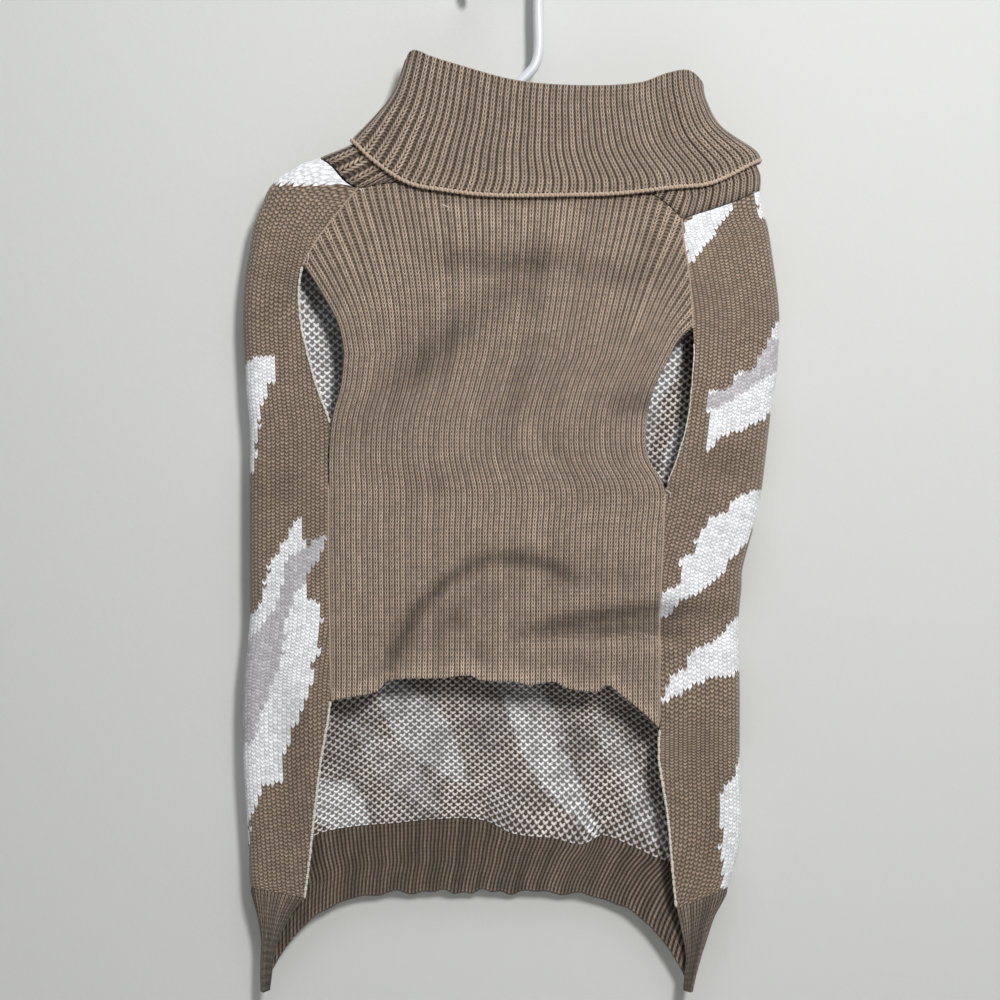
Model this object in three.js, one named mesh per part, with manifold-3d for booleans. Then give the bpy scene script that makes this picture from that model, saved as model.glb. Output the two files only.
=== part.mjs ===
// A knitted dog sweater hanging belly side forward on a small plastic hanger.
// Millimetres, +Z up, +X to the viewer's right, the viewer stands at -Y.
// The origin is the inner top of the hook, where a rail would touch it.
// "drop" is a distance below that point, so z = -drop.
// Each cloth piece is a closed wall: a grid of outer points and a grid of inner points
// joined round their edges, with the rib knit raised in the outer points alone.

import * as THREE from "three";
import Module from "manifold-3d";
import { mergeVertices } from "three/addons/utils/BufferGeometryUtils.js";

// Driving sizes of the cloth
const knitWall = 2.0; // thickness of the knitted cloth between its ribs
const ribHeight = 0.6; // how far a rib stands above the cloth
const seamGap = 0.3; // space left between two pieces that are sewn together
const seamShift = 0.5; // the same space, taken level across a slanting seam
const bellyRibs = 58; // ribs across the belly panel
const collarRibs = 112; // ribs round the collar
const hemSplit = 4; // hem columns for each back panel column, two to a rib
const ribSplit = 4; // fine outer columns for each plain inner column
const turnGap = 0.6; // space between the collar's stand and its fall
const creaseReach = 9; // width over which a large crease fades out
const swellReach = 45; // distance from the outline over which the cloth swells
const hemWaves = 9; // soft waves along the back hem
const hemWaveHeight = 1.4; // how far they move its lower edge, down and outwards
const hemWaveStart = -135; // x where the waves begin and end
const hemWaveEnd = 105;

// Driving sizes of the hanger
const hookWire = 6.0; // diameter of the hook
const hookRadius = 21; // centre line radius of the hook's bend
const hookTipTurn = 205; // degrees round the bend from the stem to the tip
const armTube = 8.0; // diameter of the shoulder arms
const hookSides = 8;
const armSides = 10;

// Left outline of the stand, shoulder, side and hem point: [x, drop]
const leftOutlineTable = [
  [-55, 71], [-62.5, 88], [-74, 104], [-87, 117], [-98, 122], [-112, 127], [-122, 130],
  [-140, 142], [-146, 154], [-151, 166], [-154, 182], [-157, 202], [-158, 224], [-157, 247],
  [-156, 270], [-154, 293], [-154, 322], [-154, 370], [-154, 406], [-158, 446], [-158, 491],
  [-155, 541], [-154, 565], [-151, 578], [-147, 597], [-147, 614], [-147, 632],
];

// Right outline, from the same places: [x, drop]
const rightOutlineTable = [
  [116.5, 83], [118.5, 93], [128, 111], [147, 125], [152, 131], [155, 138], [155, 147],
  [157, 160], [160, 169], [163, 188], [166, 210], [167, 229], [165, 262], [163, 271],
  [160, 297], [157, 322], [154, 341], [145, 374], [144, 388], [142, 412], [143, 446],
  [143, 491], [144, 521], [142, 547], [135, 571], [127, 587], [121, 605], [116, 622], [114, 632],
];

// Side edges of the turned-down fall of the collar: [x, drop]
const fallLeftTable = [[-59, 67], [-67, 88], [-79, 103], [-92, 116]];
const fallRightTable = [[120, 81], [122, 92], [131, 108], [151, 122], [155.5, 128]];

// Top fold of the collar and lower edge of its fall, seen from the front: [x, drop]
const crestTable = [
  [-59, 67], [-55, 63], [-44, 67], [-32, 71], [8, 82], [50, 85], [82, 83], [99, 77],
  [111, 75.5], [120, 81],
];
const fallEdgeTable = [
  [-92, 116], [-79, 129], [-58, 143], [-35, 148], [-8, 151], [34, 151], [68, 150],
  [102, 146], [125, 143], [155.5, 128],
];

// Seam between the collar and the two panels, along the front: [x, drop]
const neckTable = [
  [-112, 127], [-104, 133], [-96, 142], [-88, 146], [-75, 144], [-60, 143], [-35, 146],
  [-8, 148], [34, 149], [68, 148], [88, 150], [100, 158], [107, 165], [110, 164.1],
  [114, 162.8], [137, 155], [155, 147],
];

// Rows across the back panel. edge = the free or sewn edge on the belly side, left and right;
// side = where the row crosses the outline; back = the middle of the back;
// bow = how square the row's curve across the back is.
const panelColumns = [
  "edgeLeftX", "edgeLeftDrop", "sideLeftDrop",
  "edgeRightX", "edgeRightDrop", "sideRightDrop", "backDrop", "bow",
];
const panelRows = [
  [-88, 146, 127, 107, 165, 147, 134, 2],
  [-100, 161, 143, 108, 178, 162, 150, 2],
  [-112, 177, 165, 110, 190, 178, 169, 2],
  [-121, 193, 186, 112, 205, 197, 189, 2],
  [-123.5, 208, 208, 113, 218, 215, 208, 2],
  [-122, 229, 229, 113.5, 231, 230, 227, 2],
  [-118, 247, 248, 114, 247, 248, 244, 2],
  [-112, 268, 268, 112.5, 268, 268, 263, 2],
  [-105, 288, 288, 110, 288, 288, 282, 2],
  [-106, 308, 308, 104, 309, 308, 300, 2],
  [-105.5, 330, 330, 97.2, 329, 329, 320, 2],
  [-105.5, 358, 358, 95.5, 358, 358, 347, 2],
  [-105, 394, 394, 94, 394, 394, 380, 2],
  [-104.5, 427, 427, 93.5, 427, 427, 410, 2.4],
  [-104.5, 456, 456, 93.5, 470, 462, 438, 2.8],
  [-110.5, 493, 491, 93.5, 492, 490, 464, 3.2],
  [-114.5, 525, 520, 98.5, 523, 519, 489, 3.5],
  [-117.5, 552, 546, 101.5, 555, 546, 511, 3.8],
  [-120.5, 574, 568, 104, 581, 568, 530, 4],
].map((values) => namedRow(panelColumns, values));

// Rows of the rib hem, in the same columns; the last one ends in the two hanging points
const hemRows = [
  [-120.5, 574, 568, 104, 581, 568, 530, 4],
  [-129, 586, 582, 107.5, 596, 585, 545, 4.3],
  [-137.5, 604, 602, 110, 611, 607, 558, 4.7],
  [-141.5, 630, 632, 108.5, 630, 632, 573, 5],
].map((values) => namedRow(panelColumns, values));

// Belly panel: its upper edge runs up the left raglan seam, along the neck and down the right
// raglan seam. shares = the share of the ribs that starts before each row of the back panel
// on that seam, from the leg hole up to the neck on the left, and down again on the right
const raglanLeftShares = [0, 0.055, 0.105, 0.15];
const neckShares = [[-72, 0.2], [-35, 0.33], [-8, 0.43], [34, 0.6], [68, 0.74], [92, 0.82]];
const raglanRightShares = [0.865, 0.885, 0.91, 0.94, 0.97, 1];

// The belly panel's own side edges beside the leg holes, down to the middle of the holes
const bellyHoleLeft = [[-120.5, 193], [-109, 211], [-99.5, 229], [-96, 246]];
const bellyHoleRight = [[113, 231], [104.5, 239], [99, 249]];
const bellyFanRows = 5; // rows from the upper edge to the middle of the leg holes

// Rows of the belly panel below that, down to its hem
const bellyColumns = ["leftX", "leftDrop", "rightX", "rightDrop"];
const bellyRows = [
  [-96, 246, 99, 249],
  [-98, 266, 90, 268],
  [-103, 285, 85.5, 288],
  [-105, 306, 86.5, 308],
  [-105, 330, 96.5, 328],
  [-105, 354, 95, 354],
  [-104.5, 380, 94, 380],
  [-104, 406, 93.3, 406],
  [-104, 431, 93, 431],
  [-104, 454, 93, 470],
].map((values) => namedRow(bellyColumns, values));

// The belly hem's wavy edge: [x, drop]
const bellyHemTable = [
  [-104, 454], [-90, 451], [-76, 448], [-70, 442], [-58, 440], [-39, 440], [-21, 438],
  [-14, 441], [6, 442], [16, 444], [30, 442], [38, 446], [55, 448], [62, 444], [70, 450],
  [80, 458], [93, 470],
];

// Roundness of the side folds and swell of the cloth, by drop
const foldRadiusTable = [
  [60, 6.8], [130, 6.8], [180, 8.5], [300, 9], [520, 8.5], [570, 7], [600, 4.2], [632, 2.9],
];
const frontSwellTable = [[60, 2], [150, 3], [210, 5], [420, 6], [520, 4], [580, 1.5], [632, 0]];
const backSwellTable = [[60, 2], [150, 2], [300, 3], [520, 3], [570, 2.5], [632, 0]];
const fallRadius = 10.2;
const fallSwellTable = [[60, 2], [90, 2.2], [120, 3.2], [151, 5.4]];
const fallBackSwellTable = [[60, 2], [90, 2.2], [136, 3]];

// Middle of the back for the collar's three edges
const crestBackDrop = 87;
const fallEdgeBackDrop = 134;

// The largest creases of the belly panel, each a soft trough along a bent line
const creaseColumns = ["x1", "drop1", "x2", "drop2", "x3", "drop3", "depth"];
const creases = [
  [-70, 438, -52, 386, -6, 372, 3.2],
  [-6, 372, 16, 370, 40, 382, 2.4],
  [18, 414, 60, 410, 100, 408, 3.0],
  [-44, 188, -5, 200, 38, 190, 2.2],
  [-60, 262, -20, 232, 12, 196, 1.6],
  [66, 280, 88, 278, 104, 281, 2.0],
].map((values) => namedRow(creaseColumns, values));

const materials = {
  jacquard: new THREE.MeshStandardMaterial({ color: 0x8a7664, roughness: 0.95, metalness: 0 }),
  rib: new THREE.MeshStandardMaterial({ color: 0x95826f, roughness: 0.95, metalness: 0 }),
  plastic: new THREE.MeshStandardMaterial({ color: 0xeef0f4, roughness: 0.3, metalness: 0 }),
};

function namedRow(names, values) {
  return Object.fromEntries(names.map((name, index) => [name, values[index]]));
}

function mix(a, b, t) {
  return a + (b - a) * t;
}

// A smooth curve through a table of [key, value] pairs: cubic pieces whose slope at each pair
// is the slope between its neighbours
function smoothAt(table, key) {
  const last = table.length - 1;
  const k = THREE.MathUtils.clamp(key, table[0][0], table[last][0]);
  let i = 0;
  while (i < last - 1 && k > table[i + 1][0]) i += 1;
  const slope = (j) => {
    const a = table[Math.max(j - 1, 0)];
    const b = table[Math.min(j + 1, last)];
    return (b[1] - a[1]) / (b[0] - a[0]);
  };
  const span = table[i + 1][0] - table[i][0];
  const t = (k - table[i][0]) / span;
  const t2 = t * t;
  const t3 = t2 * t;
  return table[i][1] * (2 * t3 - 3 * t2 + 1) + slope(i) * span * (t3 - 2 * t2 + t)
    + table[i + 1][1] * (3 * t2 - 2 * t3) + slope(i + 1) * span * (t3 - t2);
}

// Straight pieces through a table of [key, value] pairs
function straightAt(table, key) {
  let i = 0;
  while (i < table.length - 2 && key > table[i + 1][0]) i += 1;
  const t = (key - table[i][0]) / (table[i + 1][0] - table[i][0]);
  return mix(table[i][1], table[i + 1][1], t);
}

function smoothLine(table, count) {
  const curve = new THREE.SplineCurve(table.map(([x, drop]) => new THREE.Vector2(x, drop)));
  return curve.getPoints(count);
}

const outlineSteps = 110;
const bodyOutlines = {
  left: smoothLine(leftOutlineTable, outlineSteps),
  right: smoothLine(rightOutlineTable, outlineSteps),
};
const fallOutlines = {
  left: smoothLine(fallLeftTable, outlineSteps),
  right: smoothLine(fallRightTable, outlineSteps),
};

// x where an outline crosses a given drop
function outlineX(line, drop) {
  for (let i = 1; i < line.length; i += 1) {
    if (line[i].y >= drop) {
      const t = THREE.MathUtils.clamp((drop - line[i - 1].y) / (line[i].y - line[i - 1].y), 0, 1);
      return mix(line[i - 1].x, line[i].x, t);
    }
  }
  return line[line.length - 1].x;
}

// Distance from a point to the nearer outline, and the direction from that outline inwards
function nearOutline(outlines, x, drop) {
  let best = { distance: Infinity, inX: 0, inDrop: 0 };
  for (const [line, sign] of [[outlines.left, 1], [outlines.right, -1]]) {
    for (let i = 1; i < line.length; i += 1) {
      const a = line[i - 1];
      const b = line[i];
      const dx = b.x - a.x;
      const dd = b.y - a.y;
      const length = Math.hypot(dx, dd);
      const t = THREE.MathUtils.clamp(((x - a.x) * dx + (drop - a.y) * dd) / length ** 2, 0, 1);
      const distance = Math.hypot(x - a.x - dx * t, drop - a.y - dd * t);
      if (distance < best.distance) {
        best = { distance, inX: (sign * dd) / length, inDrop: (-sign * dx) / length };
      }
    }
  }
  return best;
}

// Depth of the largest creases at a place on the belly side
function creaseDepth(x, drop) {
  let depth = 0;
  for (const c of creases) {
    let nearest = Infinity;
    let along = 0;
    const steps = 16;
    for (let i = 0; i <= steps; i += 1) {
      const t = i / steps;
      const cx = mix(mix(c.x1, c.x2, t), mix(c.x2, c.x3, t), t);
      const cd = mix(mix(c.drop1, c.drop2, t), mix(c.drop2, c.drop3, t), t);
      const distance = Math.hypot(x - cx, drop - cd);
      if (distance < nearest) {
        nearest = distance;
        along = t;
      }
    }
    const taper = Math.sqrt(Math.max(0, 4 * along * (1 - along)));
    depth = Math.max(depth, c.depth * Math.exp(-((nearest / creaseReach) ** 2)) * (0.4 + 0.6 * taper));
  }
  return depth;
}

const bodyForm = {
  outlines: bodyOutlines,
  radius: (drop) => smoothAt(foldRadiusTable, drop),
  swell: (drop, side) => smoothAt(side < 0 ? frontSwellTable : backSwellTable, drop),
};
const fallForm = {
  outlines: fallOutlines,
  radius: () => fallRadius,
  swell: (drop, side) => smoothAt(side < 0 ? fallSwellTable : fallBackSwellTable, drop),
};

// A point of the cloth over (x, drop) on the front (side -1) or the back (side 1).
// At the outline the cloth turns in a round fold, y = sqrt(r^2 - (r - distance)^2), and
// swells slowly towards the middle. inward moves the point into the cloth, square to its face.
function clothPoint(form, x, drop, side, inward) {
  const near = nearOutline(form.outlines, x, drop);
  const radius = form.radius(drop);
  const inset = Math.max(0, radius - near.distance);
  const round = Math.sqrt(radius * radius - inset * inset);
  const rise = 1 - Math.exp(-((near.distance / swellReach) ** 2));
  const crease = side < 0 && form === bodyForm ? creaseDepth(x, drop) : 0;
  const flatInward = inset > 0 ? 0 : inward;
  const depth = round * (1 - (inward - flatInward) / radius) - flatInward
    + form.swell(drop, side) * rise - crease;
  const shift = inward * (inset / radius);
  return new THREE.Vector3(x + near.inX * shift, side * depth, -(drop + near.inDrop * shift));
}

// x across a flattened tube at a share f of the way over one face, fold to fold,
// even along the cloth and so closer together in x at the round folds
function acrossX(leftX, rightX, radius, f) {
  const quarter = (Math.PI / 2) * radius;
  const flat = rightX - leftX - 2 * radius;
  const way = f * (flat + 2 * quarter);
  if (way < quarter) return leftX + radius * (1 - Math.cos(way / radius));
  if (way > quarter + flat) {
    return rightX - radius * (1 - Math.cos((flat + 2 * quarter - way) / radius));
  }
  return leftX + radius + way - quarter;
}

// Two rows of points joined by triangles. One row may have a whole number of times as many
// steps as the other.
function stitch(faces, rowA, rowB) {
  const stepsA = rowA.length - 1;
  const stepsB = rowB.length - 1;
  if (stepsA < stepsB) {
    stitch(faces, [...rowB].reverse(), [...rowA].reverse());
    return;
  }
  const ratio = stepsA / stepsB;
  const half = Math.ceil(ratio / 2);
  for (let j = 0; j < stepsB; j += 1) {
    for (let k = 0; k < ratio; k += 1) {
      const a = j * ratio + k;
      faces.push([rowA[a], rowA[a + 1], rowB[k < half ? j : j + 1]]);
      if (k === half - 1) faces.push([rowA[a + 1], rowB[j + 1], rowB[j]]);
    }
  }
}

function solidFrom(points, faces) {
  let volume = 0;
  for (const [a, b, c] of faces) {
    volume += points[a].dot(new THREE.Vector3().crossVectors(points[b], points[c]));
  }
  const turned = volume < 0 ? faces.map(([a, b, c]) => [a, c, b]) : faces;
  const geometry = new THREE.BufferGeometry();
  const positions = points.flatMap((point) => [point.x, point.y, point.z]);
  geometry.setAttribute("position", new THREE.Float32BufferAttribute(positions, 3));
  geometry.setIndex(turned.flat());
  geometry.computeVertexNormals();
  return geometry;
}

// A sheet of cloth with four edges: outer rows and inner rows, joined round the rim
function sheetSolid(outerRows, innerRows) {
  const points = [];
  const add = (row) => row.map((point) => points.push(point) - 1);
  const outer = outerRows.map(add);
  const inner = innerRows.map(add);
  const faces = [];
  const last = outer.length - 1;
  for (let i = 0; i < last; i += 1) {
    stitch(faces, outer[i], outer[i + 1]);
    stitch(faces, inner[i + 1], inner[i]);
  }
  stitch(faces, inner[0], outer[0]);
  stitch(faces, outer[last], inner[last]);
  for (let i = 0; i < last; i += 1) {
    const endOuter = outer[i].length - 1;
    const endInner = inner[i].length - 1;
    faces.push([outer[i][0], outer[i + 1][0], inner[i + 1][0]]);
    faces.push([outer[i][0], inner[i + 1][0], inner[i][0]]);
    faces.push([outer[i][endOuter], inner[i][endInner], inner[i + 1][endInner]]);
    faces.push([outer[i][endOuter], inner[i + 1][endInner], outer[i + 1][endOuter]]);
  }
  return solidFrom(points, faces);
}

// A ring of cloth: closed rings of points, each stitched to the next and the last to the first
function ringSolid(rings) {
  const points = [];
  const rows = rings.map((ring) => {
    const row = ring.map((point) => points.push(point) - 1);
    return [...row, row[0]];
  });
  const faces = [];
  rows.forEach((row, i) => stitch(faces, row, rows[(i + 1) % rows.length]));
  return solidFrom(points, faces);
}

function ribAt(column, height) {
  return column % 2 === 1 ? height : 0;
}

// Stations along one row of the back panel or hem: belly-side edge, left fold, back,
// right fold, belly-side edge. Each is a place (x, drop) and a side.
function panelStations(row, counts) {
  const leftX = outlineX(bodyOutlines.left, row.sideLeftDrop);
  const rightX = outlineX(bodyOutlines.right, row.sideRightDrop);
  const stations = [];
  const radius = bodyForm.radius((row.sideLeftDrop + row.sideRightDrop) / 2);
  const flap = (edgeX, edgeDrop, sideX, sideDrop, t) => ({
    x: mix(edgeX, sideX, t), drop: mix(edgeDrop, sideDrop, t), side: -1,
  });
  // share of the way from edge to fold, even along the cloth
  const flapShare = (width, i, count) => {
    const bend = Math.min(radius, width * 0.9);
    const flat = width - bend;
    const way = (i / count) * (flat + (Math.PI / 2) * bend);
    if (way <= flat) return way / width;
    return (flat + bend * Math.sin((way - flat) / bend)) / width;
  };
  const leftWidth = Math.abs(row.edgeLeftX - leftX);
  const rightWidth = Math.abs(rightX - row.edgeRightX);
  for (let i = 0; i < counts.flap; i += 1) {
    const t = flapShare(leftWidth, i, counts.flap);
    stations.push(flap(row.edgeLeftX, row.edgeLeftDrop, leftX, row.sideLeftDrop, t));
  }
  for (let i = 0; i <= counts.back; i += 1) {
    const x = acrossX(leftX, rightX, radius, i / counts.back);
    const u = (x - leftX) / (rightX - leftX);
    const ends = mix(row.sideLeftDrop, row.sideRightDrop, u);
    const middle = (row.sideLeftDrop + row.sideRightDrop) / 2;
    const drop = ends + (row.backDrop - middle) * (1 - Math.abs(2 * u - 1) ** row.bow);
    stations.push({ x, drop, side: 1 });
  }
  for (let i = counts.flap - 1; i >= 0; i -= 1) {
    const t = flapShare(rightWidth, i, counts.flap);
    stations.push(flap(row.edgeRightX, row.edgeRightDrop, rightX, row.sideRightDrop, t));
  }
  return stations;
}

// Upper edge of the belly panel as two tables over the share across: x and drop
function bellyTopTables() {
  const lastLeft = raglanLeftShares.length - 1;
  const left = raglanLeftShares.map((share, i) => {
    const row = panelRows[lastLeft - i];
    return [share, row.edgeLeftX + seamShift, row.edgeLeftDrop];
  });
  const neck = neckShares.map(([x, share]) => [share, x, smoothAt(neckTable, x)]);
  const right = raglanRightShares.map((share, i) => {
    const row = panelRows[i];
    return [share, row.edgeRightX - seamShift, row.edgeRightDrop];
  });
  const all = [...left, ...neck, ...right];
  return { x: all.map((p) => [p[0], p[1]]), drop: all.map((p) => [p[0], p[2]]) };
}

function everyNth(list, n) {
  return list.filter((_, index) => index % n === 0);
}

function backPanel() {
  const counts = { flap: 6, back: 30 };
  const rows = panelRows.map((row) => panelStations(row, counts));
  rows[0].filter((s) => s.side < 0).forEach((s) => {
    s.drop = smoothAt(neckTable, s.x);
  });
  const place = (inward) => (row, index) => row.map((s) => {
    const trim = (index === 0 ? seamGap : 0) - (index === rows.length - 1 ? seamGap : 0);
    return clothPoint(bodyForm, s.x, s.drop + trim, s.side, inward);
  });
  return sheetSolid(rows.map(place(0)), rows.map(place(knitWall)));
}

function hemBand() {
  const counts = { flap: 8 * hemSplit, back: 56 * hemSplit };
  const rows = hemRows.map((row) => panelStations(row, counts));
  const last = rows.length - 1;
  // the waves are uneven, grow towards the lower edge and die out at the side folds
  const wave = (s, index) => {
    if (s.side < 0) return 0;
    const u = (s.x - hemWaveStart) / (hemWaveEnd - hemWaveStart);
    const level = Math.sin(Math.PI * THREE.MathUtils.clamp(u, 0, 1));
    const phase = 2 * Math.PI * hemWaves * u + 1.3 * Math.sin(5 * u);
    return hemWaveHeight * (index / last) ** 2 * level * Math.sin(phase);
  };
  const place = (s, index, inward) => {
    const trim = index === 0 ? seamGap : 0;
    const lift = wave(s, index);
    const point = clothPoint(bodyForm, s.x, s.drop + trim + lift, s.side, inward);
    point.y += lift;
    return point;
  };
  const outer = rows.map((row, index) => row.map((s, column) => {
    const fade = index === last ? 0.5 : 1;
    return place(s, index, -ribAt(column, ribHeight * fade));
  }));
  const inner = rows.map((row, index) => everyNth(row, hemSplit)
    .map((s) => place(s, index, knitWall)));
  return sheetSolid(outer, inner);
}

// Belly panel places: a patch filled between its upper edge, the two leg hole edges and the
// row at the middle of the holes, then rows down to the wavy hem
function bellyPlaces(columns) {
  const shares = Array.from({ length: columns + 1 }, (_, i) => i / columns);
  const first = bellyRows[0];
  const top = bellyTopTables();
  const neckStart = raglanLeftShares.at(-1);
  const neckEnd = raglanRightShares[0];
  const topX = (u) => straightAt(top.x, u);
  const topDrop = (u) => (u > neckStart && u < neckEnd
    ? smoothAt(neckTable, topX(u)) : straightAt(top.drop, u));
  const holeLeft = smoothLine(bellyHoleLeft, 24);
  const holeRight = smoothLine(bellyHoleRight, 24);
  const along = (line, t) => {
    const i = Math.min(Math.floor(t * (line.length - 1)), line.length - 2);
    const f = t * (line.length - 1) - i;
    return { x: mix(line[i].x, line[i + 1].x, f), drop: mix(line[i].y, line[i + 1].y, f) };
  };
  const rows = [];
  for (let r = 0; r < bellyFanRows; r += 1) {
    const v = r / bellyFanRows;
    const left = along(holeLeft, v);
    const right = along(holeRight, v);
    rows.push(shares.map((u) => {
      const fill = (top, bottom, sideA, sideB, c00, c10, c01, c11) => mix(top, bottom, v)
        + mix(sideA, sideB, u) - mix(mix(c00, c10, u), mix(c01, c11, u), v);
      const bottomX = mix(first.leftX, first.rightX, u);
      const bottomDrop = mix(first.leftDrop, first.rightDrop, u);
      const x = fill(topX(u), bottomX, left.x, right.x, topX(0), topX(1),
        first.leftX, first.rightX);
      const drop = fill(topDrop(u), bottomDrop, left.drop, right.drop, topDrop(0), topDrop(1),
        first.leftDrop, first.rightDrop);
      return { x, drop };
    }));
  }
  bellyRows.forEach((row, index) => {
    const hem = index === bellyRows.length - 1;
    rows.push(shares.map((u) => {
      const x = mix(row.leftX, row.rightX, u);
      return { x, drop: hem ? smoothAt(bellyHemTable, x) : mix(row.leftDrop, row.rightDrop, u) };
    }));
  });
  return rows;
}

function bellyPanel() {
  const columns = bellyRibs * 2;
  const rows = bellyPlaces(columns);
  const trim = (index) => (index === 0 ? seamGap : 0);
  const outer = rows.map((row, index) => row.map((p, column) => clothPoint(
    bodyForm, p.x, p.drop + trim(index), -1, -ribAt(column, ribHeight))));
  const inner = rows.map((row, index) => everyNth(row, ribSplit).map((p) => clothPoint(
    bodyForm, p.x, p.drop + trim(index), -1, knitWall)));
  return sheetSolid(outer, inner);
}

// One closed ring of the collar. ends = drops of its left and right folds, front = its drop
// as a function of the share across, back = drop of the middle of its back.
function collarRing(form, ends, front, back, count, inward) {
  const leftX = outlineX(form.outlines.left, ends[0]);
  const rightX = outlineX(form.outlines.right, ends[1]);
  const radius = form.radius(mix(ends[0], ends[1], 0.5));
  const ring = [];
  for (let i = 0; i < count; i += 1) {
    const f = (2 * i) / count;
    const side = f < 1 ? -1 : 1;
    const x = acrossX(leftX, rightX, radius, f < 1 ? f : 2 - f);
    const u = (x - leftX) / (rightX - leftX);
    const backDrop = mix(ends[0], ends[1], u)
      + (back - (ends[0] + ends[1]) / 2) * (1 - (2 * u - 1) ** 2);
    const drop = side < 0 ? front(u) : backDrop;
    ring.push(clothPoint(form, x, drop, side, inward(i)));
  }
  return ring;
}

function shareTable(table) {
  const start = table[0][0];
  const span = table[table.length - 1][0] - start;
  return table.map(([x, drop]) => [(x - start) / span, drop]);
}

// The collar: a rib stand that rises from the neck, turns over at the crest and falls outside
function collar() {
  const fine = collarRibs * 2;
  const plain = fine / ribSplit;
  const crest = shareTable(crestTable);
  const edge = shareTable(fallEdgeTable);
  const neck = shareTable(neckTable);
  const crestEnds = [crestTable[0][1], crestTable.at(-1)[1]];
  const edgeEnds = [fallEdgeTable[0][1], fallEdgeTable.at(-1)[1]];
  const neckEnds = [neckTable[0][1], neckTable.at(-1)[1]];
  const standTop = knitWall + turnGap; // the stand's upper end lies this far below the crest
  const neckBackDrop = panelRows[0].backDrop;
  const flat = (depth) => () => depth;

  // rings of the fall, w = 0 at the crest and 1 at its lower edge
  const fallRing = (w, count, inward, lower = 0) => collarRing(
    fallForm,
    [mix(crestEnds[0], edgeEnds[0], w) + lower, mix(crestEnds[1], edgeEnds[1], w) + lower],
    (u) => mix(smoothAt(crest, u), smoothAt(edge, u), w) + lower,
    mix(crestBackDrop, fallEdgeBackDrop, w) + lower, count, inward);
  // rings of the stand, w = 0 at the neck and 1 just under the crest
  const standRing = (w, count, inward) => {
    const level = (neckDrop, crestDrop) => mix(neckDrop - seamGap, crestDrop + standTop, w);
    return collarRing(
      bodyForm,
      [level(neckEnds[0], crestEnds[0] + 1), level(neckEnds[1], crestEnds[1] - 0.5)],
      (u) => level(smoothAt(neck, u), smoothAt(crest, u)),
      level(neckBackDrop, crestBackDrop), count, inward);
  };
  const ribbed = (i) => -ribAt(i, ribHeight);
  const crestInset = knitWall + turnGap / 2; // the crest lies midway between fall and stand
  return ringSolid([
    standRing(0, plain * 2, flat(0)),
    standRing(0.35, plain, flat(0)),
    standRing(0.7, plain, flat(0)),
    standRing(0.96, plain, flat(0)),
    fallRing(0, plain, flat(crestInset), knitWall + 0.2),
    fallRing(0.08, plain, flat(knitWall), knitWall * 0.6),
    fallRing(0.5, plain, flat(knitWall)),
    fallRing(0.985, plain, flat(knitWall)),
    fallRing(1, fine, ribbed),
    fallRing(0.7, fine, ribbed),
    fallRing(0.4, fine, ribbed),
    fallRing(0.1, fine, ribbed),
    fallRing(0, fine, (i) => crestInset - 0.9 - ribAt(i, ribHeight)),
    fallRing(0, plain, flat(crestInset + 0.9)),
    standRing(0.93, plain, flat(knitWall)),
    standRing(0.6, plain, flat(knitWall)),
    standRing(0.3, plain, flat(knitWall)),
    standRing(0, plain * 2, flat(knitWall)),
  ]);
}

function tubeAlong(path, radius, sides, steps) {
  const section = new THREE.Shape();
  for (let i = 0; i < sides; i += 1) {
    const angle = (2 * Math.PI * i) / sides;
    const point = [radius * Math.cos(angle), radius * Math.sin(angle)];
    if (i === 0) section.moveTo(...point);
    else section.lineTo(...point);
  }
  section.closePath();
  return new THREE.ExtrudeGeometry(section, { steps, extrudePath: path, curveSegments: 1 });
}

// Hook, neck and the two shoulder arms of the hanger, fused into one plain solid
async function hanger() {
  const wasm = await Module();
  wasm.setup();
  const toSolid = (geometry) => {
    const bare = geometry.clone();
    bare.deleteAttribute("normal");
    bare.deleteAttribute("uv");
    const merged = mergeVertices(bare.index ? bare.toNonIndexed() : bare, 1e-4);
    return new wasm.Manifold(new wasm.Mesh({
      numProp: 3,
      vertProperties: new Float32Array(merged.attributes.position.array),
      triVerts: new Uint32Array(merged.index.array),
    }));
  };

  const bendDrop = hookRadius - hookWire / 2; // centre of the hook's bend below the seat
  const hookPoints = [];
  for (let turn = hookTipTurn; turn >= 0; turn -= 15) {
    const angle = (turn * Math.PI) / 180;
    const z = -bendDrop + hookRadius * Math.sin(angle);
    hookPoints.push(new THREE.Vector3(hookRadius * Math.cos(angle), 0, z));
  }
  const stemTable = [[21, 40], [21.2, 60], [19, 70], [14.5, 76], [8.5, 82], [5.5, 88], [5, 94]];
  stemTable.forEach(([x, drop]) => hookPoints.push(new THREE.Vector3(x, 0, -drop)));
  const hook = tubeAlong(new THREE.CatmullRomCurve3(hookPoints), hookWire / 2, hookSides, 34);

  const armTable = [
    [-129.2, 144.2], [-117, 138.2], [-98, 129.2], [-60, 112.5], [-20, 98.5], [5, 94],
    [30, 98], [70, 110.5], [110, 125], [130, 132.3], [146, 138.8],
  ];
  const armPoints = armTable.map(([x, drop]) => new THREE.Vector3(x, 0, -drop));
  const arms = tubeAlong(new THREE.CatmullRomCurve3(armPoints), armTube / 2, armSides, 20);

  const boss = new THREE.LatheGeometry([
    new THREE.Vector2(0, -6), new THREE.Vector2(5.2, -6), new THREE.Vector2(5.2, 2),
    new THREE.Vector2(3.8, 6), new THREE.Vector2(0, 6),
  ], 16);
  boss.rotateX(Math.PI / 2);
  boss.translate(5.1, 0, -91);

  const fused = toSolid(hook).add(toSolid(arms)).add(toSolid(boss)).getMesh();
  const geometry = new THREE.BufferGeometry();
  geometry.setAttribute("position", new THREE.Float32BufferAttribute(fused.vertProperties, 3));
  geometry.setIndex(Array.from(fused.triVerts));
  geometry.computeVertexNormals();
  return geometry;
}

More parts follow.
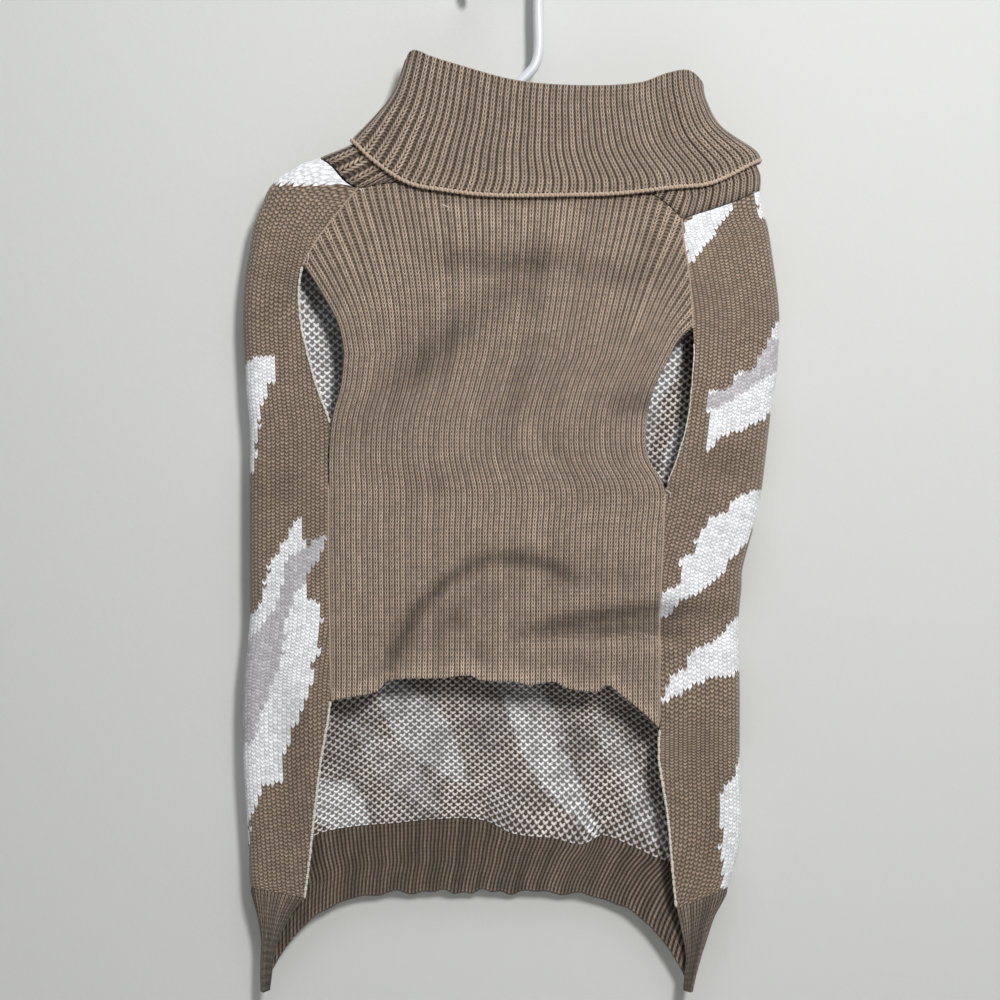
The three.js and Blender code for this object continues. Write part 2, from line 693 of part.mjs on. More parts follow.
const group = new THREE.Group();

function addPiece(name, geometry, material) {
  const mesh = new THREE.Mesh(geometry, material);
  mesh.name = name;
  group.add(mesh);
}

addPiece("back_panel", backPanel(), materials.jacquard);
addPiece("belly_panel", bellyPanel(), materials.rib);
addPiece("hem_band", hemBand(), materials.rib);
addPiece("collar", collar(), materials.rib);
addPiece("hanger", await hanger(), materials.plastic);

export default group;
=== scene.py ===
import math

import bpy
import numpy as np
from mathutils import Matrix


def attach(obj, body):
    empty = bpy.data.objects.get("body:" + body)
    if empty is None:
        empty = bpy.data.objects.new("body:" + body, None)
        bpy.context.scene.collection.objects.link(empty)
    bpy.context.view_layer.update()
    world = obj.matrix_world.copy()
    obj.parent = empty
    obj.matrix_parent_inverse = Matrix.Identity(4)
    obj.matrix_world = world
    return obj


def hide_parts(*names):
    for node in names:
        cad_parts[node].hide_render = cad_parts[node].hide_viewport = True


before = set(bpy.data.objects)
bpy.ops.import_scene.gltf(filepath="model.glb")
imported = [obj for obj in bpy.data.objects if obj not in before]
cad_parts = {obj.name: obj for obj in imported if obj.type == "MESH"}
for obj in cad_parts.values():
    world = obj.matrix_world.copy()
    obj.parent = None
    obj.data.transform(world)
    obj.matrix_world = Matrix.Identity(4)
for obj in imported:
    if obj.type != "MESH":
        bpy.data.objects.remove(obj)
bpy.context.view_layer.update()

scene = bpy.context.scene


# camera, light and room

cameraPlace = {"x": -0.0024, "y": -1.112, "z": -0.3342, "lens": 66.0}
room = {"wallY": 0.0175, "floorZ": -1.1, "wallColor": (0.552, 0.562, 0.552),
        "floorColor": (0.72, 0.72, 0.70)}
lamps = {
    # name: place, looks at, width, height, power, colour
    "keyLamp": ((0.41, -1.29, 0.28), (0.0, 0.0, -0.30), 0.22, 0.40, 19.0, (1.0, 0.985, 0.965)),
    "topLamp": ((0.1, -0.85, 1.15), (0.0, 0.0, -0.30), 1.1, 0.9, 10.0, (0.98, 0.99, 1.0)),
    "backLamp": ((-0.15, 1.7, 0.45), (0.0, 0.0, -0.30), 1.0, 1.0, 20.0, (1.0, 1.0, 1.0)),
}
worldLight = {"color": (0.93, 0.95, 0.97), "strength": 0.17}


def linkObject(obj):
    scene.collection.objects.link(obj)
    return obj


def makeCamera():
    data = bpy.data.cameras.new("photoCamera")
    data.lens = cameraPlace["lens"]
    data.sensor_width = 36.0
    data.clip_start = 0.02
    data.clip_end = 60.0
    camera = linkObject(bpy.data.objects.new("photoCamera", data))
    camera.location = (cameraPlace["x"], cameraPlace["y"], cameraPlace["z"])
    camera.rotation_euler = (math.pi / 2, 0.0, 0.0)
    scene.camera = camera
    scene.view_settings.view_transform = "Standard"  # plain sRGB, as a phone photo has


def makeLamps():
    for name, (place, aim, width, height, watts, color) in lamps.items():
        data = bpy.data.lights.new(name, "AREA")
        data.shape = "ELLIPSE"
        data.size = width
        data.size_y = height
        data.energy = watts
        data.color = color
        lamp = linkObject(bpy.data.objects.new(name, data))
        lamp.location = place
        away = np.array(place) - np.array(aim)
        flat = math.hypot(away[0], away[1])
        lamp.rotation_euler = (math.atan2(flat, away[2]), 0.0, math.atan2(away[1], away[0]) + math.pi / 2)
    world = bpy.data.worlds.new("softRoom")
    world.use_nodes = True
    background = world.node_tree.nodes["Background"]
    background.inputs["Color"].default_value = (*worldLight["color"], 1.0)
    background.inputs["Strength"].default_value = worldLight["strength"]
    scene.world = world


# small helpers for meshes and nodes

def gridQuads(rows, columns, start=0, closed=False):
    # quad (i, j) joins points i*columns+j, its right neighbour and the two below them
    # a closed grid also joins its last column to its first
    i, j = np.meshgrid(np.arange(rows - 1), np.arange(columns if closed else columns - 1), indexing="ij")
    right = (j + 1) % columns
    return start + np.stack([i * columns + j, i * columns + right,
                             (i + 1) * columns + right, (i + 1) * columns + j], axis=-1).reshape(-1, 4)


def turnOutwards(points, quads, outward):
    # the quads are reversed if most of them look against the outward directions
    corners = points[quads]
    normals = np.cross(corners[:, 2] - corners[:, 0], corners[:, 3] - corners[:, 1])
    away = outward[quads].mean(axis=1)
    return quads if (normals * away).sum() > 0 else quads[:, ::-1]


def mapGrid(across, along):
    return np.stack(np.broadcast_arrays(across, along), axis=-1)


def joinGrids(blocks):
    # each block is a grid of points, the way out of the cloth there, and a grid of map places
    points, quads, uv, start = [], [], [], 0
    for grid, outward, place in blocks:
        flat = grid.reshape(-1, 3)
        away = np.broadcast_to(outward, grid.shape).reshape(-1, 3)
        quads.append(start + turnOutwards(flat, gridQuads(*grid.shape[:2]), away))
        points.append(flat)
        uv.append(place.reshape(-1, 2))
        start += len(flat)
    return np.concatenate(points), quads, np.concatenate(uv)


def makeMesh(name, points, quads, uv=None, masks=None, slots=None, materials=(), scale=0.001):
    mesh = bpy.data.meshes.new(name)
    mesh.vertices.add(len(points))
    mesh.vertices.foreach_set("co", (points * scale).astype(np.float32).ravel())
    mesh.loops.add(len(quads) * 4)
    mesh.loops.foreach_set("vertex_index", quads.astype(np.int32).ravel())
    mesh.polygons.add(len(quads))
    mesh.polygons.foreach_set("loop_start", np.arange(0, len(quads) * 4, 4, dtype=np.int32))
    mesh.polygons.foreach_set("use_smooth", np.ones(len(quads), dtype=bool))
    for material in materials:
        mesh.materials.append(material)
    if slots is not None:
        mesh.polygons.foreach_set("material_index", slots.astype(np.int32))
    mesh.update(calc_edges=True)
    if uv is not None:
        layer = mesh.uv_layers.new(name="stitchMap")
        layer.data.foreach_set("uv", uv[quads.ravel()].astype(np.float32).ravel())
    if masks is not None:
        # one colour for each quad, the same at its four corners
        layer = mesh.color_attributes.new("yarnAndShadeMask", "FLOAT_COLOR", "CORNER")
        corners = np.repeat(np.column_stack([masks, np.ones(len(masks))]), 4, axis=0)
        layer.data.foreach_set("color", corners.astype(np.float32).ravel())
    mesh.validate()
    return linkObject(bpy.data.objects.new(name, mesh))


def mathNode(operation):
    # gives a function that adds this Math node to the tree of its first linked value
    def join(*values, clamp=False):
        tree = next(value for value in values if not isinstance(value, (int, float))).id_data
        node = tree.nodes.new("ShaderNodeMath")
        node.operation = operation
        node.use_clamp = clamp
        setSockets(tree, node.inputs, values)
        return node.outputs[0]
    return join


def setSockets(tree, sockets, values):
    # a number or a colour is set, a socket is linked
    for socket, value in zip(sockets, values):
        if isinstance(value, (int, float)):
            socket.default_value = value
        elif isinstance(value, tuple):
            socket.default_value = (*value, 1.0)
        else:
            tree.links.new(value, socket)


plus, minus, times, divided = (mathNode(name) for name in ("ADD", "SUBTRACT", "MULTIPLY", "DIVIDE"))
power, squareRoot, sine, absolute = (mathNode(name) for name in ("POWER", "SQRT", "SINE", "ABSOLUTE"))
floored, fraction, remainder, larger = (mathNode(name) for name in ("FLOOR", "FRACT", "MODULO", "MAXIMUM"))


def halfRound(offset):
    # sqrt(1 - offset^2), 0 where offset is past 1
    return squareRoot(larger(minus(1.0, times(offset, offset)), 0.0))


def addMix(tree, factor, colorA, colorB):
    node = tree.nodes.new("ShaderNodeMix")
    node.data_type = "RGBA"
    setSockets(tree, (node.inputs[0], node.inputs[6], node.inputs[7]), (factor, colorA, colorB))
    return node.outputs[2]


def addNoise(tree, vector, scale, detail=2.0, roughness=0.5):
    node = tree.nodes.new("ShaderNodeTexNoise")
    node.inputs["Scale"].default_value = scale
    node.inputs["Detail"].default_value = detail
    node.inputs["Roughness"].default_value = roughness
    tree.links.new(vector, node.inputs["Vector"])
    return node.outputs["Fac"]


def addRange(tree, value, low, high, newLow, newHigh):
    node = tree.nodes.new("ShaderNodeMapRange")
    setSockets(tree, [node.inputs[name] for name in ("Value", "From Min", "From Max", "To Min", "To Max")],
               (value, low, high, newLow, newHigh))
    return node.outputs[0]


def addBump(tree, shader, height, strength, distance):
    node = tree.nodes.new("ShaderNodeBump")
    node.inputs["Strength"].default_value = strength
    node.inputs["Distance"].default_value = distance
    tree.links.new(height, node.inputs["Height"])
    tree.links.new(node.outputs["Normal"], shader.inputs["Normal"])


def cellTone(group, column, course=None):
    # a random number for each stitch, or for each column of stitches
    cell = group.nodes.new("ShaderNodeCombineXYZ")
    group.links.new(column, cell.inputs[0])
    if course is not None:
        group.links.new(course, cell.inputs[1])
    random = group.nodes.new("ShaderNodeTexWhiteNoise")
    random.noise_dimensions = "2D"
    group.links.new(cell.outputs[0], random.inputs["Vector"])
    return random.outputs["Value"]


def newGroup(name, inputs, outputs):
    # inputs as name: value, a tuple for a colour; the output named Color is one too
    group = bpy.data.node_groups.new(name, "ShaderNodeTree")
    for socketName, value in inputs.items():
        isColor = isinstance(value, tuple)
        socket = group.interface.new_socket(
            socketName, in_out="INPUT", socket_type="NodeSocketColor" if isColor else "NodeSocketFloat")
        socket.default_value = (*value, 1.0) if isColor else value
    for socketName in outputs:
        group.interface.new_socket(
            socketName, in_out="OUTPUT", socket_type="NodeSocketColor" if socketName == "Color" else "NodeSocketFloat")
    return group, group.nodes.new("NodeGroupInput").outputs, group.nodes.new("NodeGroupOutput").inputs


def useGroup(tree, group, **values):
    node = tree.nodes.new("ShaderNodeGroup")
    node.node_tree = group
    setSockets(tree, [node.inputs[name] for name in values], values.values())
    return node.outputs


def sendStitch(group, sink, height, tone):
    group.links.new(height, sink["Height"])
    group.links.new(minus(1.0, height, clamp=True), sink["Gap"])
    group.links.new(tone, sink["Tone"])


def newMaterial(name):
    material = bpy.data.materials.new(name)
    material.use_nodes = True
    tree = material.node_tree
    return material, tree, tree.nodes["Principled BSDF"], tree.nodes["Material Output"]


# shader groups for knitting

def makeStitchGroup():
    # One jersey stitch in each unit cell of (Across, Along): two leaning legs that meet at the
    # bottom. Drop lowers the middle of the cell by that share of a course, Leg is half a leg's width.
    # leg height = sqrt(1 - d^2), d = distance from the leg's leaning middle line
    group, source, sink = newGroup("vStitch", {"Across": 0.0, "Along": 0.0, "Drop": 0.0, "Leg": 0.44},
                                   ["Height", "Gap", "Tone"])
    across, along = source["Across"], source["Along"]
    inCell = fraction(across)
    fromMiddle = absolute(minus(inCell, 0.5))
    bent = minus(along, times(times(fromMiddle, 2.0), source["Drop"]))
    inCourse = fraction(bent)
    legSide = minus(times(floored(times(inCell, 2.0)), 2.0), 1.0)
    inLeg = fraction(times(inCell, 2.0))
    lean = times(times(minus(inCourse, 0.5), 0.6), legSide)
    leg = halfRound(divided(minus(minus(inLeg, 0.5), lean), source["Leg"]))
    ends = sine(times(inCourse, math.pi))
    height = times(leg, plus(times(power(ends, 0.6), 0.3), 0.7))
    sendStitch(group, sink, height, cellTone(group, floored(across), floored(bent)))
    return group


def makeJerseyGroup():
    # Jersey seen from a step away: the two legs of a stitch read as one arched bump, and every
    # other wale is half a course lower.
    # height = sqrt(1 - (m / 0.52)^2) * (0.15 + 0.85 sin(pi c)), m = distance from the wale's
    # middle line, c = share of the course along the arch
    group, source, sink = newGroup("jerseyBump", {"Across": 0.0, "Along": 0.0, "Arch": 1.1}, ["Height", "Gap", "Tone"])
    fromMiddle = absolute(minus(fraction(source["Across"]), 0.5))
    waleIndex = floored(source["Across"])
    uneven = group.nodes.new("ShaderNodeTexWhiteNoise")
    uneven.noise_dimensions = "1D"
    group.links.new(waleIndex, uneven.inputs["W"])
    shift = plus(times(remainder(waleIndex, 2.0), 0.5), times(uneven.outputs["Value"], 0.3))
    arch = times(times(fromMiddle, fromMiddle), times(source["Arch"], 2.0))
    bent = plus(plus(source["Along"], shift), arch)
    course = sine(times(fraction(bent), math.pi))
    wale = halfRound(divided(fromMiddle, 0.52))
    height = times(wale, plus(times(course, 0.85), 0.15))
    sendStitch(group, sink, height, cellTone(group, waleIndex, floored(bent)))
    return group


def makeRibGroup(stitchGroup):
    # 1x1 rib: the raised middle of each unit of Across carries v stitches, the furrow between
    # two ribs carries purl bars with dark holes between them. Open is 1 where the cloth is
    # stretched and the furrow wide. crest = 10 * (0.46 - 0.13 * Open - |fract - 0.5|), from 0 to 1
    group, source, sink = newGroup("ribStitch", {"Across": 0.0, "Along": 0.0, "Open": 0.0, "Bars": 0.42},
                                   ["Height", "Gap", "Tone", "RibTone"])
    across, along, opened = source["Across"], source["Along"], source["Open"]
    inRib = minus(fraction(across), 0.5)
    reach = minus(0.46, times(opened, 0.13))
    crest = times(minus(reach, absolute(inRib)), 10.0, clamp=True)
    wide = plus(divided(inRib, times(reach, 1.9)), 0.5, clamp=True)
    ribIndex = floored(across)
    knit = useGroup(group, stitchGroup, Across=plus(times(wide, 0.998), ribIndex), Along=along, Drop=0.6)
    purl = power(absolute(sine(times(along, math.pi))), 1.3)
    furrow = times(purl, plus(times(opened, 0.08), source["Bars"]))
    height = plus(times(knit["Height"], crest), times(furrow, minus(1.0, crest)))
    sendStitch(group, sink, height, knit["Tone"])
    group.links.new(cellTone(group, ribIndex), sink["RibTone"])
    return group


def makeBackingGroup():
    # Backing of a jacquard: broad v strokes, two wales wide, in two layers set like bricks.
    # stroke = sqrt(1 - (d / 0.42)^2), d = distance in courses from the v's bent middle line
    group, source, sink = newGroup("backingStitch", {"Across": 0.0, "Along": 0.0, "Rise": 0.75}, ["Height", "Tone"])
    layers = []
    for shift in (0.0, 0.5):
        u = plus(times(source["Across"], 0.5), shift)
        arm = times(absolute(minus(fraction(u), 0.5)), 2.0)
        line = minus(source["Along"], times(arm, source["Rise"]))
        bent = plus(times(line, 0.5), shift)
        stroke = halfRound(divided(times(minus(fraction(bent), 0.5), 2.0), 0.42))
        ends = times(minus(0.76, arm), 4.5, clamp=True)
        layers.append((times(stroke, ends), cellTone(group, floored(u), floored(bent))))
    (heightA, toneA), (heightB, toneB) = layers
    group.links.new(larger(heightA, heightB), sink["Height"])
    group.links.new(times(plus(toneA, toneB), 0.5), sink["Tone"])
    return group


def makeYarnGroup():
    # Yarn colour: painted shade in the gaps, a little different from stitch to stitch, mottled over
    # a few centimetres, speckled at the size of the fibres, with painted shade where a crease closes it in.
    # colour = Yarn * tone * speckle * mottle * (1 - 0.55 * the painted shade input), mixed with Shadow by Gap^0.75 *
    # Depth
    group, source, sink = newGroup(
        "yarnColor", {"Yarn": (0.5, 0.4, 0.3), "Shadow": (0.05, 0.04, 0.03), "Gap": 0.0, "Tone": 0.5, "Depth": 0.8,
                      "Cavity": 0.0}, ["Color", "Fuzz"])
    place = group.nodes.new("ShaderNodeTexCoord").outputs["Object"]
    speckle = addNoise(group, place, 1150.0, 2.0, 0.7)
    mottle = addNoise(group, place, 38.0, 3.0, 0.55)
    tone = addRange(group, source["Tone"], 0.0, 1.0, 0.84, 1.16)
    light = times(times(tone, addRange(group, speckle, 0.25, 0.75, 0.72, 1.28)),
                  addRange(group, mottle, 0.3, 0.7, 0.93, 1.07))
    # painted shade: darker where the input is above 0 (creases), a painted highlight where it is below 0, plus random
    # rib tone
    light = times(light, minus(1.0, times(source["Cavity"], 0.55)))
    lit = group.nodes.new("ShaderNodeVectorMath")
    lit.operation = "SCALE"
    group.links.new(source["Yarn"], lit.inputs[0])
    group.links.new(light, lit.inputs["Scale"])
    depth = times(power(source["Gap"], 0.75), source["Depth"], clamp=True)
    group.links.new(addMix(group, depth, lit.outputs[0], source["Shadow"]), sink["Color"])
    group.links.new(speckle, sink["Fuzz"])
    return group


def finishCloth(tree, shader, color, height, fuzz, bump, sheen):
    tree.links.new(color, shader.inputs["Base Color"])
    shader.inputs["Sheen Weight"].default_value = sheen
    shader.inputs["Sheen Roughness"].default_value = 0.5
    shader.inputs["Specular IOR Level"].default_value = 0.18
    tree.links.new(addRange(tree, fuzz, 0.2, 0.8, 0.82, 0.98), shader.inputs["Roughness"])
    addBump(tree, shader, plus(height, times(fuzz, 0.25)), bump, 0.0006)


def stitchPlace(tree):
    # the map counts wales or ribs across and courses along
    uv = tree.nodes.new("ShaderNodeUVMap")
    uv.uv_map = "stitchMap"
    split = tree.nodes.new("ShaderNodeSeparateXYZ")
    tree.links.new(uv.outputs["UV"], split.inputs[0])
    return {"Across": split.outputs[0], "Along": split.outputs[1]}


def yarnAndShadeMask(tree):
    # three shares painted on the quads; the third is painted shade, the light that a crease takes
    mask = tree.nodes.new("ShaderNodeVertexColor")
    mask.layer_name = "yarnAndShadeMask"
    share = tree.nodes.new("ShaderNodeSeparateColor")
    tree.links.new(mask.outputs["Color"], share.inputs[0])
    return share.outputs


yarns = {
    "taupe": (0.375, 0.286, 0.218),
    "taupeRib": (0.53, 0.410, 0.318),
    "taupeShadow": (0.020, 0.014, 0.009),
    "white": (0.89, 0.90, 0.93),
    "grey": (0.51, 0.497, 0.515),
    "whiteShadow": (0.22, 0.22, 0.26),
    "backTan": (0.73, 0.68, 0.64),
    "backDark": (0.112, 0.082, 0.062),
    "collarTaupe": (0.46, 0.356, 0.277),
    # painted shade: the hem band's yarn is the same taupe, made darker
    "shadedHemTaupe": (0.33, 0.252, 0.190),
    "cream": (0.74, 0.70, 0.62),
    "plastic": (0.60, 0.63, 0.68),
    "rubbedPlastic": (0.56, 0.59, 0.64),
}


def jacquardFaceMaterial(jerseyGroup, yarnGroup):
    # the mask's shares are white, grey and painted crease shade
    material, tree, shader, _ = newMaterial("jacquardFace")
    place = stitchPlace(tree)
    white, grey, crease = yarnAndShadeMask(tree)
    pale = larger(white, grey)
    knit = useGroup(tree, jerseyGroup, **place)
    yarn = addMix(tree, grey, addMix(tree, white, yarns["taupe"], yarns["white"]), yarns["grey"])
    shadow = addMix(tree, pale, yarns["taupeShadow"], yarns["whiteShadow"])
    depth = addRange(tree, pale, 0.0, 1.0, 1.0, 0.55)
    colorOut = useGroup(tree, yarnGroup, Yarn=yarn, Shadow=shadow, Gap=knit["Gap"], Tone=knit["Tone"], Depth=depth,
                        Cavity=crease)
    finishCloth(tree, shader, colorOut["Color"], knit["Height"], colorOut["Fuzz"], 0.75, 0.25)
    return material


def jacquardBackingMaterial(backingGroup, yarnGroup):
    # the inside of the jacquard: pale v strokes over the dark yarn behind them; the mask's shares
    # are pale bands, greyish spots and painted crease shade
    material, tree, shader, _ = newMaterial("jacquardBacking")
    place = stitchPlace(tree)
    pale, spots, crease = yarnAndShadeMask(tree)
    knit = useGroup(tree, backingGroup, **place)
    paleYarn = addMix(tree, pale, addMix(tree, spots, yarns["backTan"], yarns["grey"]), yarns["white"])
    darkYarn = addMix(tree, times(pale, 0.62), yarns["backDark"], yarns["grey"])
    shown = times(knit["Height"], addRange(tree, knit["Tone"], 0.2, 0.8, 0.9, 1.5), clamp=True)
    gap = minus(1.0, knit["Height"], clamp=True)
    colorOut = useGroup(tree, yarnGroup, Yarn=addMix(tree, shown, darkYarn, paleYarn), Shadow=yarns["taupeShadow"],
                        Gap=gap, Tone=knit["Tone"], Depth=0.45, Cavity=crease)
    finishCloth(tree, shader, colorOut["Color"], knit["Height"], colorOut["Fuzz"], 0.9, 0.2)
    return material


def ribMaterial(name, ribGroup, yarnGroup, yarn, uneven, bars):
    # uneven is the share by which single ribs are darker or paler than the rest, bars the height of
    # the purl bars; the mask's first share says how far the ribs stand apart
    material, tree, shader, _ = newMaterial(name)
    place = stitchPlace(tree)
    opened, _, crease = yarnAndShadeMask(tree)
    knit = useGroup(tree, ribGroup, Open=opened, Bars=bars, **place)
    # the mask's third share is painted shade, and a painted highlight where it is below 0; the random tone of single
    # ribs is added to it
    ribShade = times(minus(knit["RibTone"], 0.5), uneven)
    colorOut = useGroup(tree, yarnGroup, Yarn=yarn, Shadow=yarns["taupeShadow"], Gap=knit["Gap"], Tone=knit["Tone"],
                        Depth=1.0, Cavity=plus(crease, ribShade))
    finishCloth(tree, shader, colorOut["Color"], knit["Height"], colorOut["Fuzz"], 1.0, 0.25)
    return material


def threadMaterial(name, yarn, yarnGroup):
    # twisted thread: fine slanting bands round it
    material, tree, shader, _ = newMaterial(name)
    place = stitchPlace(tree)
    twist = sine(times(plus(place["Across"], place["Along"]), 2.0 * math.pi))
    height = addRange(tree, twist, -1.0, 1.0, 0.0, 1.0)
    colorOut = useGroup(tree, yarnGroup, Yarn=yarn, Shadow=yarns["taupeShadow"], Gap=minus(1.0, height), Tone=0.5,
                        Depth=0.35)
    finishCloth(tree, shader, colorOut["Color"], height, colorOut["Fuzz"], 0.5, 0.2)
    return material


def plasticMaterial():
    # glossy white plastic with a faint moulded ripple and rubbed, duller spots
    material, tree, shader, _ = newMaterial("whitePlastic")
    place = tree.nodes.new("ShaderNodeTexCoord").outputs["Object"]
    ripple = addNoise(tree, place, 60.0, 2.0)
    rubbed = addNoise(tree, place, 22.0, 4.0, 0.6)
    color = addMix(tree, addRange(tree, rubbed, 0.35, 0.75, 0.0, 1.0), yarns["plastic"], yarns["rubbedPlastic"])
    tree.links.new(color, shader.inputs["Base Color"])
    tree.links.new(addRange(tree, rubbed, 0.3, 0.7, 0.22, 0.38), shader.inputs["Roughness"])
    shader.inputs["Subsurface Weight"].default_value = 0.05
    shader.inputs["Coat Weight"].default_value = 0.15
    addBump(tree, shader, ripple, 0.08, 0.001)
    return material


def wallMaterial():
    # painted wall with a fine roller texture, seen from its room side only; the lamp behind it
    # shines through, so that the part's back is lit as well
    material, tree, shader, output = newMaterial("paintedWall")
    place = tree.nodes.new("ShaderNodeTexCoord").outputs["Object"]
    stipple = addNoise(tree, place, 260.0, 4.0, 0.6)
    shader.inputs["Base Color"].default_value = (*room["wallColor"], 1.0)
    shader.inputs["Roughness"].default_value = 0.9
    addBump(tree, shader, stipple, 0.16, 0.001)
    clear = tree.nodes.new("ShaderNodeBsdfTransparent")
    choose = tree.nodes.new("ShaderNodeMixShader")
    fromBehind = tree.nodes.new("ShaderNodeNewGeometry").outputs["Backfacing"]
    toLamp = tree.nodes.new("ShaderNodeLightPath").outputs["Is Shadow Ray"]
    tree.links.new(larger(fromBehind, toLamp), choose.inputs[0])
    tree.links.new(shader.outputs[0], choose.inputs[1])
    tree.links.new(clear.outputs[0], choose.inputs[2])
    tree.links.new(choose.outputs[0], output.inputs["Surface"])
    return material


def makeRoom():
    wallY, floorZ = room["wallY"], room["floorZ"]
    wallPoints = np.array([[-3, wallY, floorZ], [3, wallY, floorZ], [3, wallY, 2.4], [-3, wallY, 2.4]])
    wall = makeMesh("backWall", wallPoints, np.array([[0, 1, 2, 3]]), materials=[wallMaterial()], scale=1.0)
    floorMaterial, tree, shader, _ = newMaterial("paleFloor")
    shader.inputs["Base Color"].default_value = (*room["floorColor"], 1.0)
    shader.inputs["Roughness"].default_value = 0.8
    floorPoints = np.array([[-3, -4, floorZ], [3, -4, floorZ], [3, 3, floorZ], [-3, 3, floorZ]])
    floor = makeMesh("paleFloor", floorPoints, np.array([[0, 1, 2, 3]]), materials=[floorMaterial], scale=1.0)


# the cloth's form, the same tables as the solids have

def smoothAt(table, key):
    # cubic pieces through [key, value] pairs; the slope at a pair is that between its neighbours
    k, v = np.array(table, dtype=float).T
    key = np.clip(key, k[0], k[-1])
    i = np.clip(np.searchsorted(k, key) - 1, 0, len(k) - 2)
    before = np.maximum(np.arange(len(k)) - 1, 0)
    after = np.minimum(np.arange(len(k)) + 1, len(k) - 1)
    slope = (v[after] - v[before]) / (k[after] - k[before])
    span = k[i + 1] - k[i]
    t = (key - k[i]) / span
    return (v[i] * (2 * t**3 - 3 * t**2 + 1) + slope[i] * span * (t**3 - 2 * t**2 + t)
            + v[i + 1] * (3 * t**2 - 2 * t**3) + slope[i + 1] * span * (t**3 - t**2))


def smoothLine(table, count):
    # uniform Catmull-Rom curve: p = p1 + v0 t + (3 d - 2 v0 - v1) t^2 + (v0 + v1 - 2 d) t^3
    p = np.array(table, dtype=float)
    way = np.linspace(0, len(p) - 1, count + 1)
    i = np.minimum(way.astype(int), len(p) - 2)
    t = (way - i)[:, None]
    before, after = np.maximum(i - 1, 0), np.minimum(i + 2, len(p) - 1)
    v0, v1, d = (p[i + 1] - p[before]) / 2, (p[after] - p[i]) / 2, p[i + 1] - p[i]
    return p[i] + v0 * t + (3 * d - 2 * v0 - v1) * t**2 + (v0 + v1 - 2 * d) * t**3


leftOutline = smoothLine([
    [-55, 71], [-62.5, 88], [-74, 104], [-87, 117], [-98, 122], [-112, 127], [-122, 130],
    [-140, 142], [-146, 154], [-151, 166], [-154, 182], [-157, 202], [-158, 224], [-157, 247],
    [-156, 270], [-154, 293], [-154, 322], [-154, 370], [-154, 406], [-158, 446], [-158, 491],
    [-155, 541], [-154, 565], [-151, 578], [-147, 597], [-147, 614], [-147, 632]], 110)
rightOutline = smoothLine([
    [116.5, 83], [118.5, 93], [128, 111], [147, 125], [152, 131], [155, 138], [155, 147],
    [157, 160], [160, 169], [163, 188], [166, 210], [167, 229], [165, 262], [163, 271],
    [160, 297], [157, 322], [154, 341], [145, 374], [144, 388], [142, 412], [143, 446],
    [143, 491], [144, 521], [142, 547], [135, 571], [127, 587], [121, 605], [116, 622], [114, 632]], 110)
fallLeft = smoothLine([[-59, 67], [-67, 88], [-79, 103], [-92, 116]], 110)
fallRight = smoothLine([[120, 81], [122, 92], [131, 108], [151, 122], [155.5, 128]], 110)

crestTable = [[-59, 67], [-55, 63], [-44, 67], [-32, 71], [8, 82], [50, 85], [82, 83], [99, 77],
              [111, 75.5], [120, 81]]
fallEdgeTable = [[-92, 116], [-79, 129], [-58, 143], [-35, 148], [-8, 151], [34, 151], [68, 150],
                 [102, 146], [125, 143], [155.5, 128]]
neckTable = [[-112, 127], [-104, 133], [-96, 142], [-88, 146], [-75, 144], [-60, 143], [-35, 146],
             [-8, 148], [34, 149], [68, 148], [88, 150], [100, 158], [107, 165], [110, 164.1],
             [114, 162.8], [137, 155], [155, 147]]

# edgeLeftX, edgeLeftDrop, sideLeftDrop, edgeRightX, edgeRightDrop, sideRightDrop, backDrop, bow
panelRows = np.array([
    [-88, 146, 127, 107, 165, 147, 134, 2], [-100, 161, 143, 108, 178, 162, 150, 2],
    [-112, 177, 165, 110, 190, 178, 169, 2], [-121, 193, 186, 112, 205, 197, 189, 2],
    [-123.5, 208, 208, 113, 218, 215, 208, 2], [-122, 229, 229, 113.5, 231, 230, 227, 2],
    [-118, 247, 248, 114, 247, 248, 244, 2], [-112, 268, 268, 112.5, 268, 268, 263, 2],
    [-105, 288, 288, 110, 288, 288, 282, 2], [-106, 308, 308, 104, 309, 308, 300, 2],
    [-105.5, 330, 330, 97.2, 329, 329, 320, 2], [-105.5, 358, 358, 95.5, 358, 358, 347, 2],
    [-105, 394, 394, 94, 394, 394, 380, 2], [-104.5, 427, 427, 93.5, 427, 427, 410, 2.4],
    [-104.5, 456, 456, 93.5, 470, 462, 438, 2.8], [-110.5, 493, 491, 93.5, 492, 490, 464, 3.2],
    [-114.5, 525, 520, 98.5, 523, 519, 489, 3.5], [-117.5, 552, 546, 101.5, 555, 546, 511, 3.8],
    [-120.5, 574, 568, 104, 581, 568, 530, 4]])
hemRows = np.array([
    [-120.5, 574, 568, 104, 581, 568, 530, 4], [-129, 586, 582, 107.5, 596, 585, 545, 4.3],
    [-137.5, 604, 602, 110, 611, 607, 558, 4.7], [-141.5, 630, 632, 108.5, 630, 632, 573, 5]])

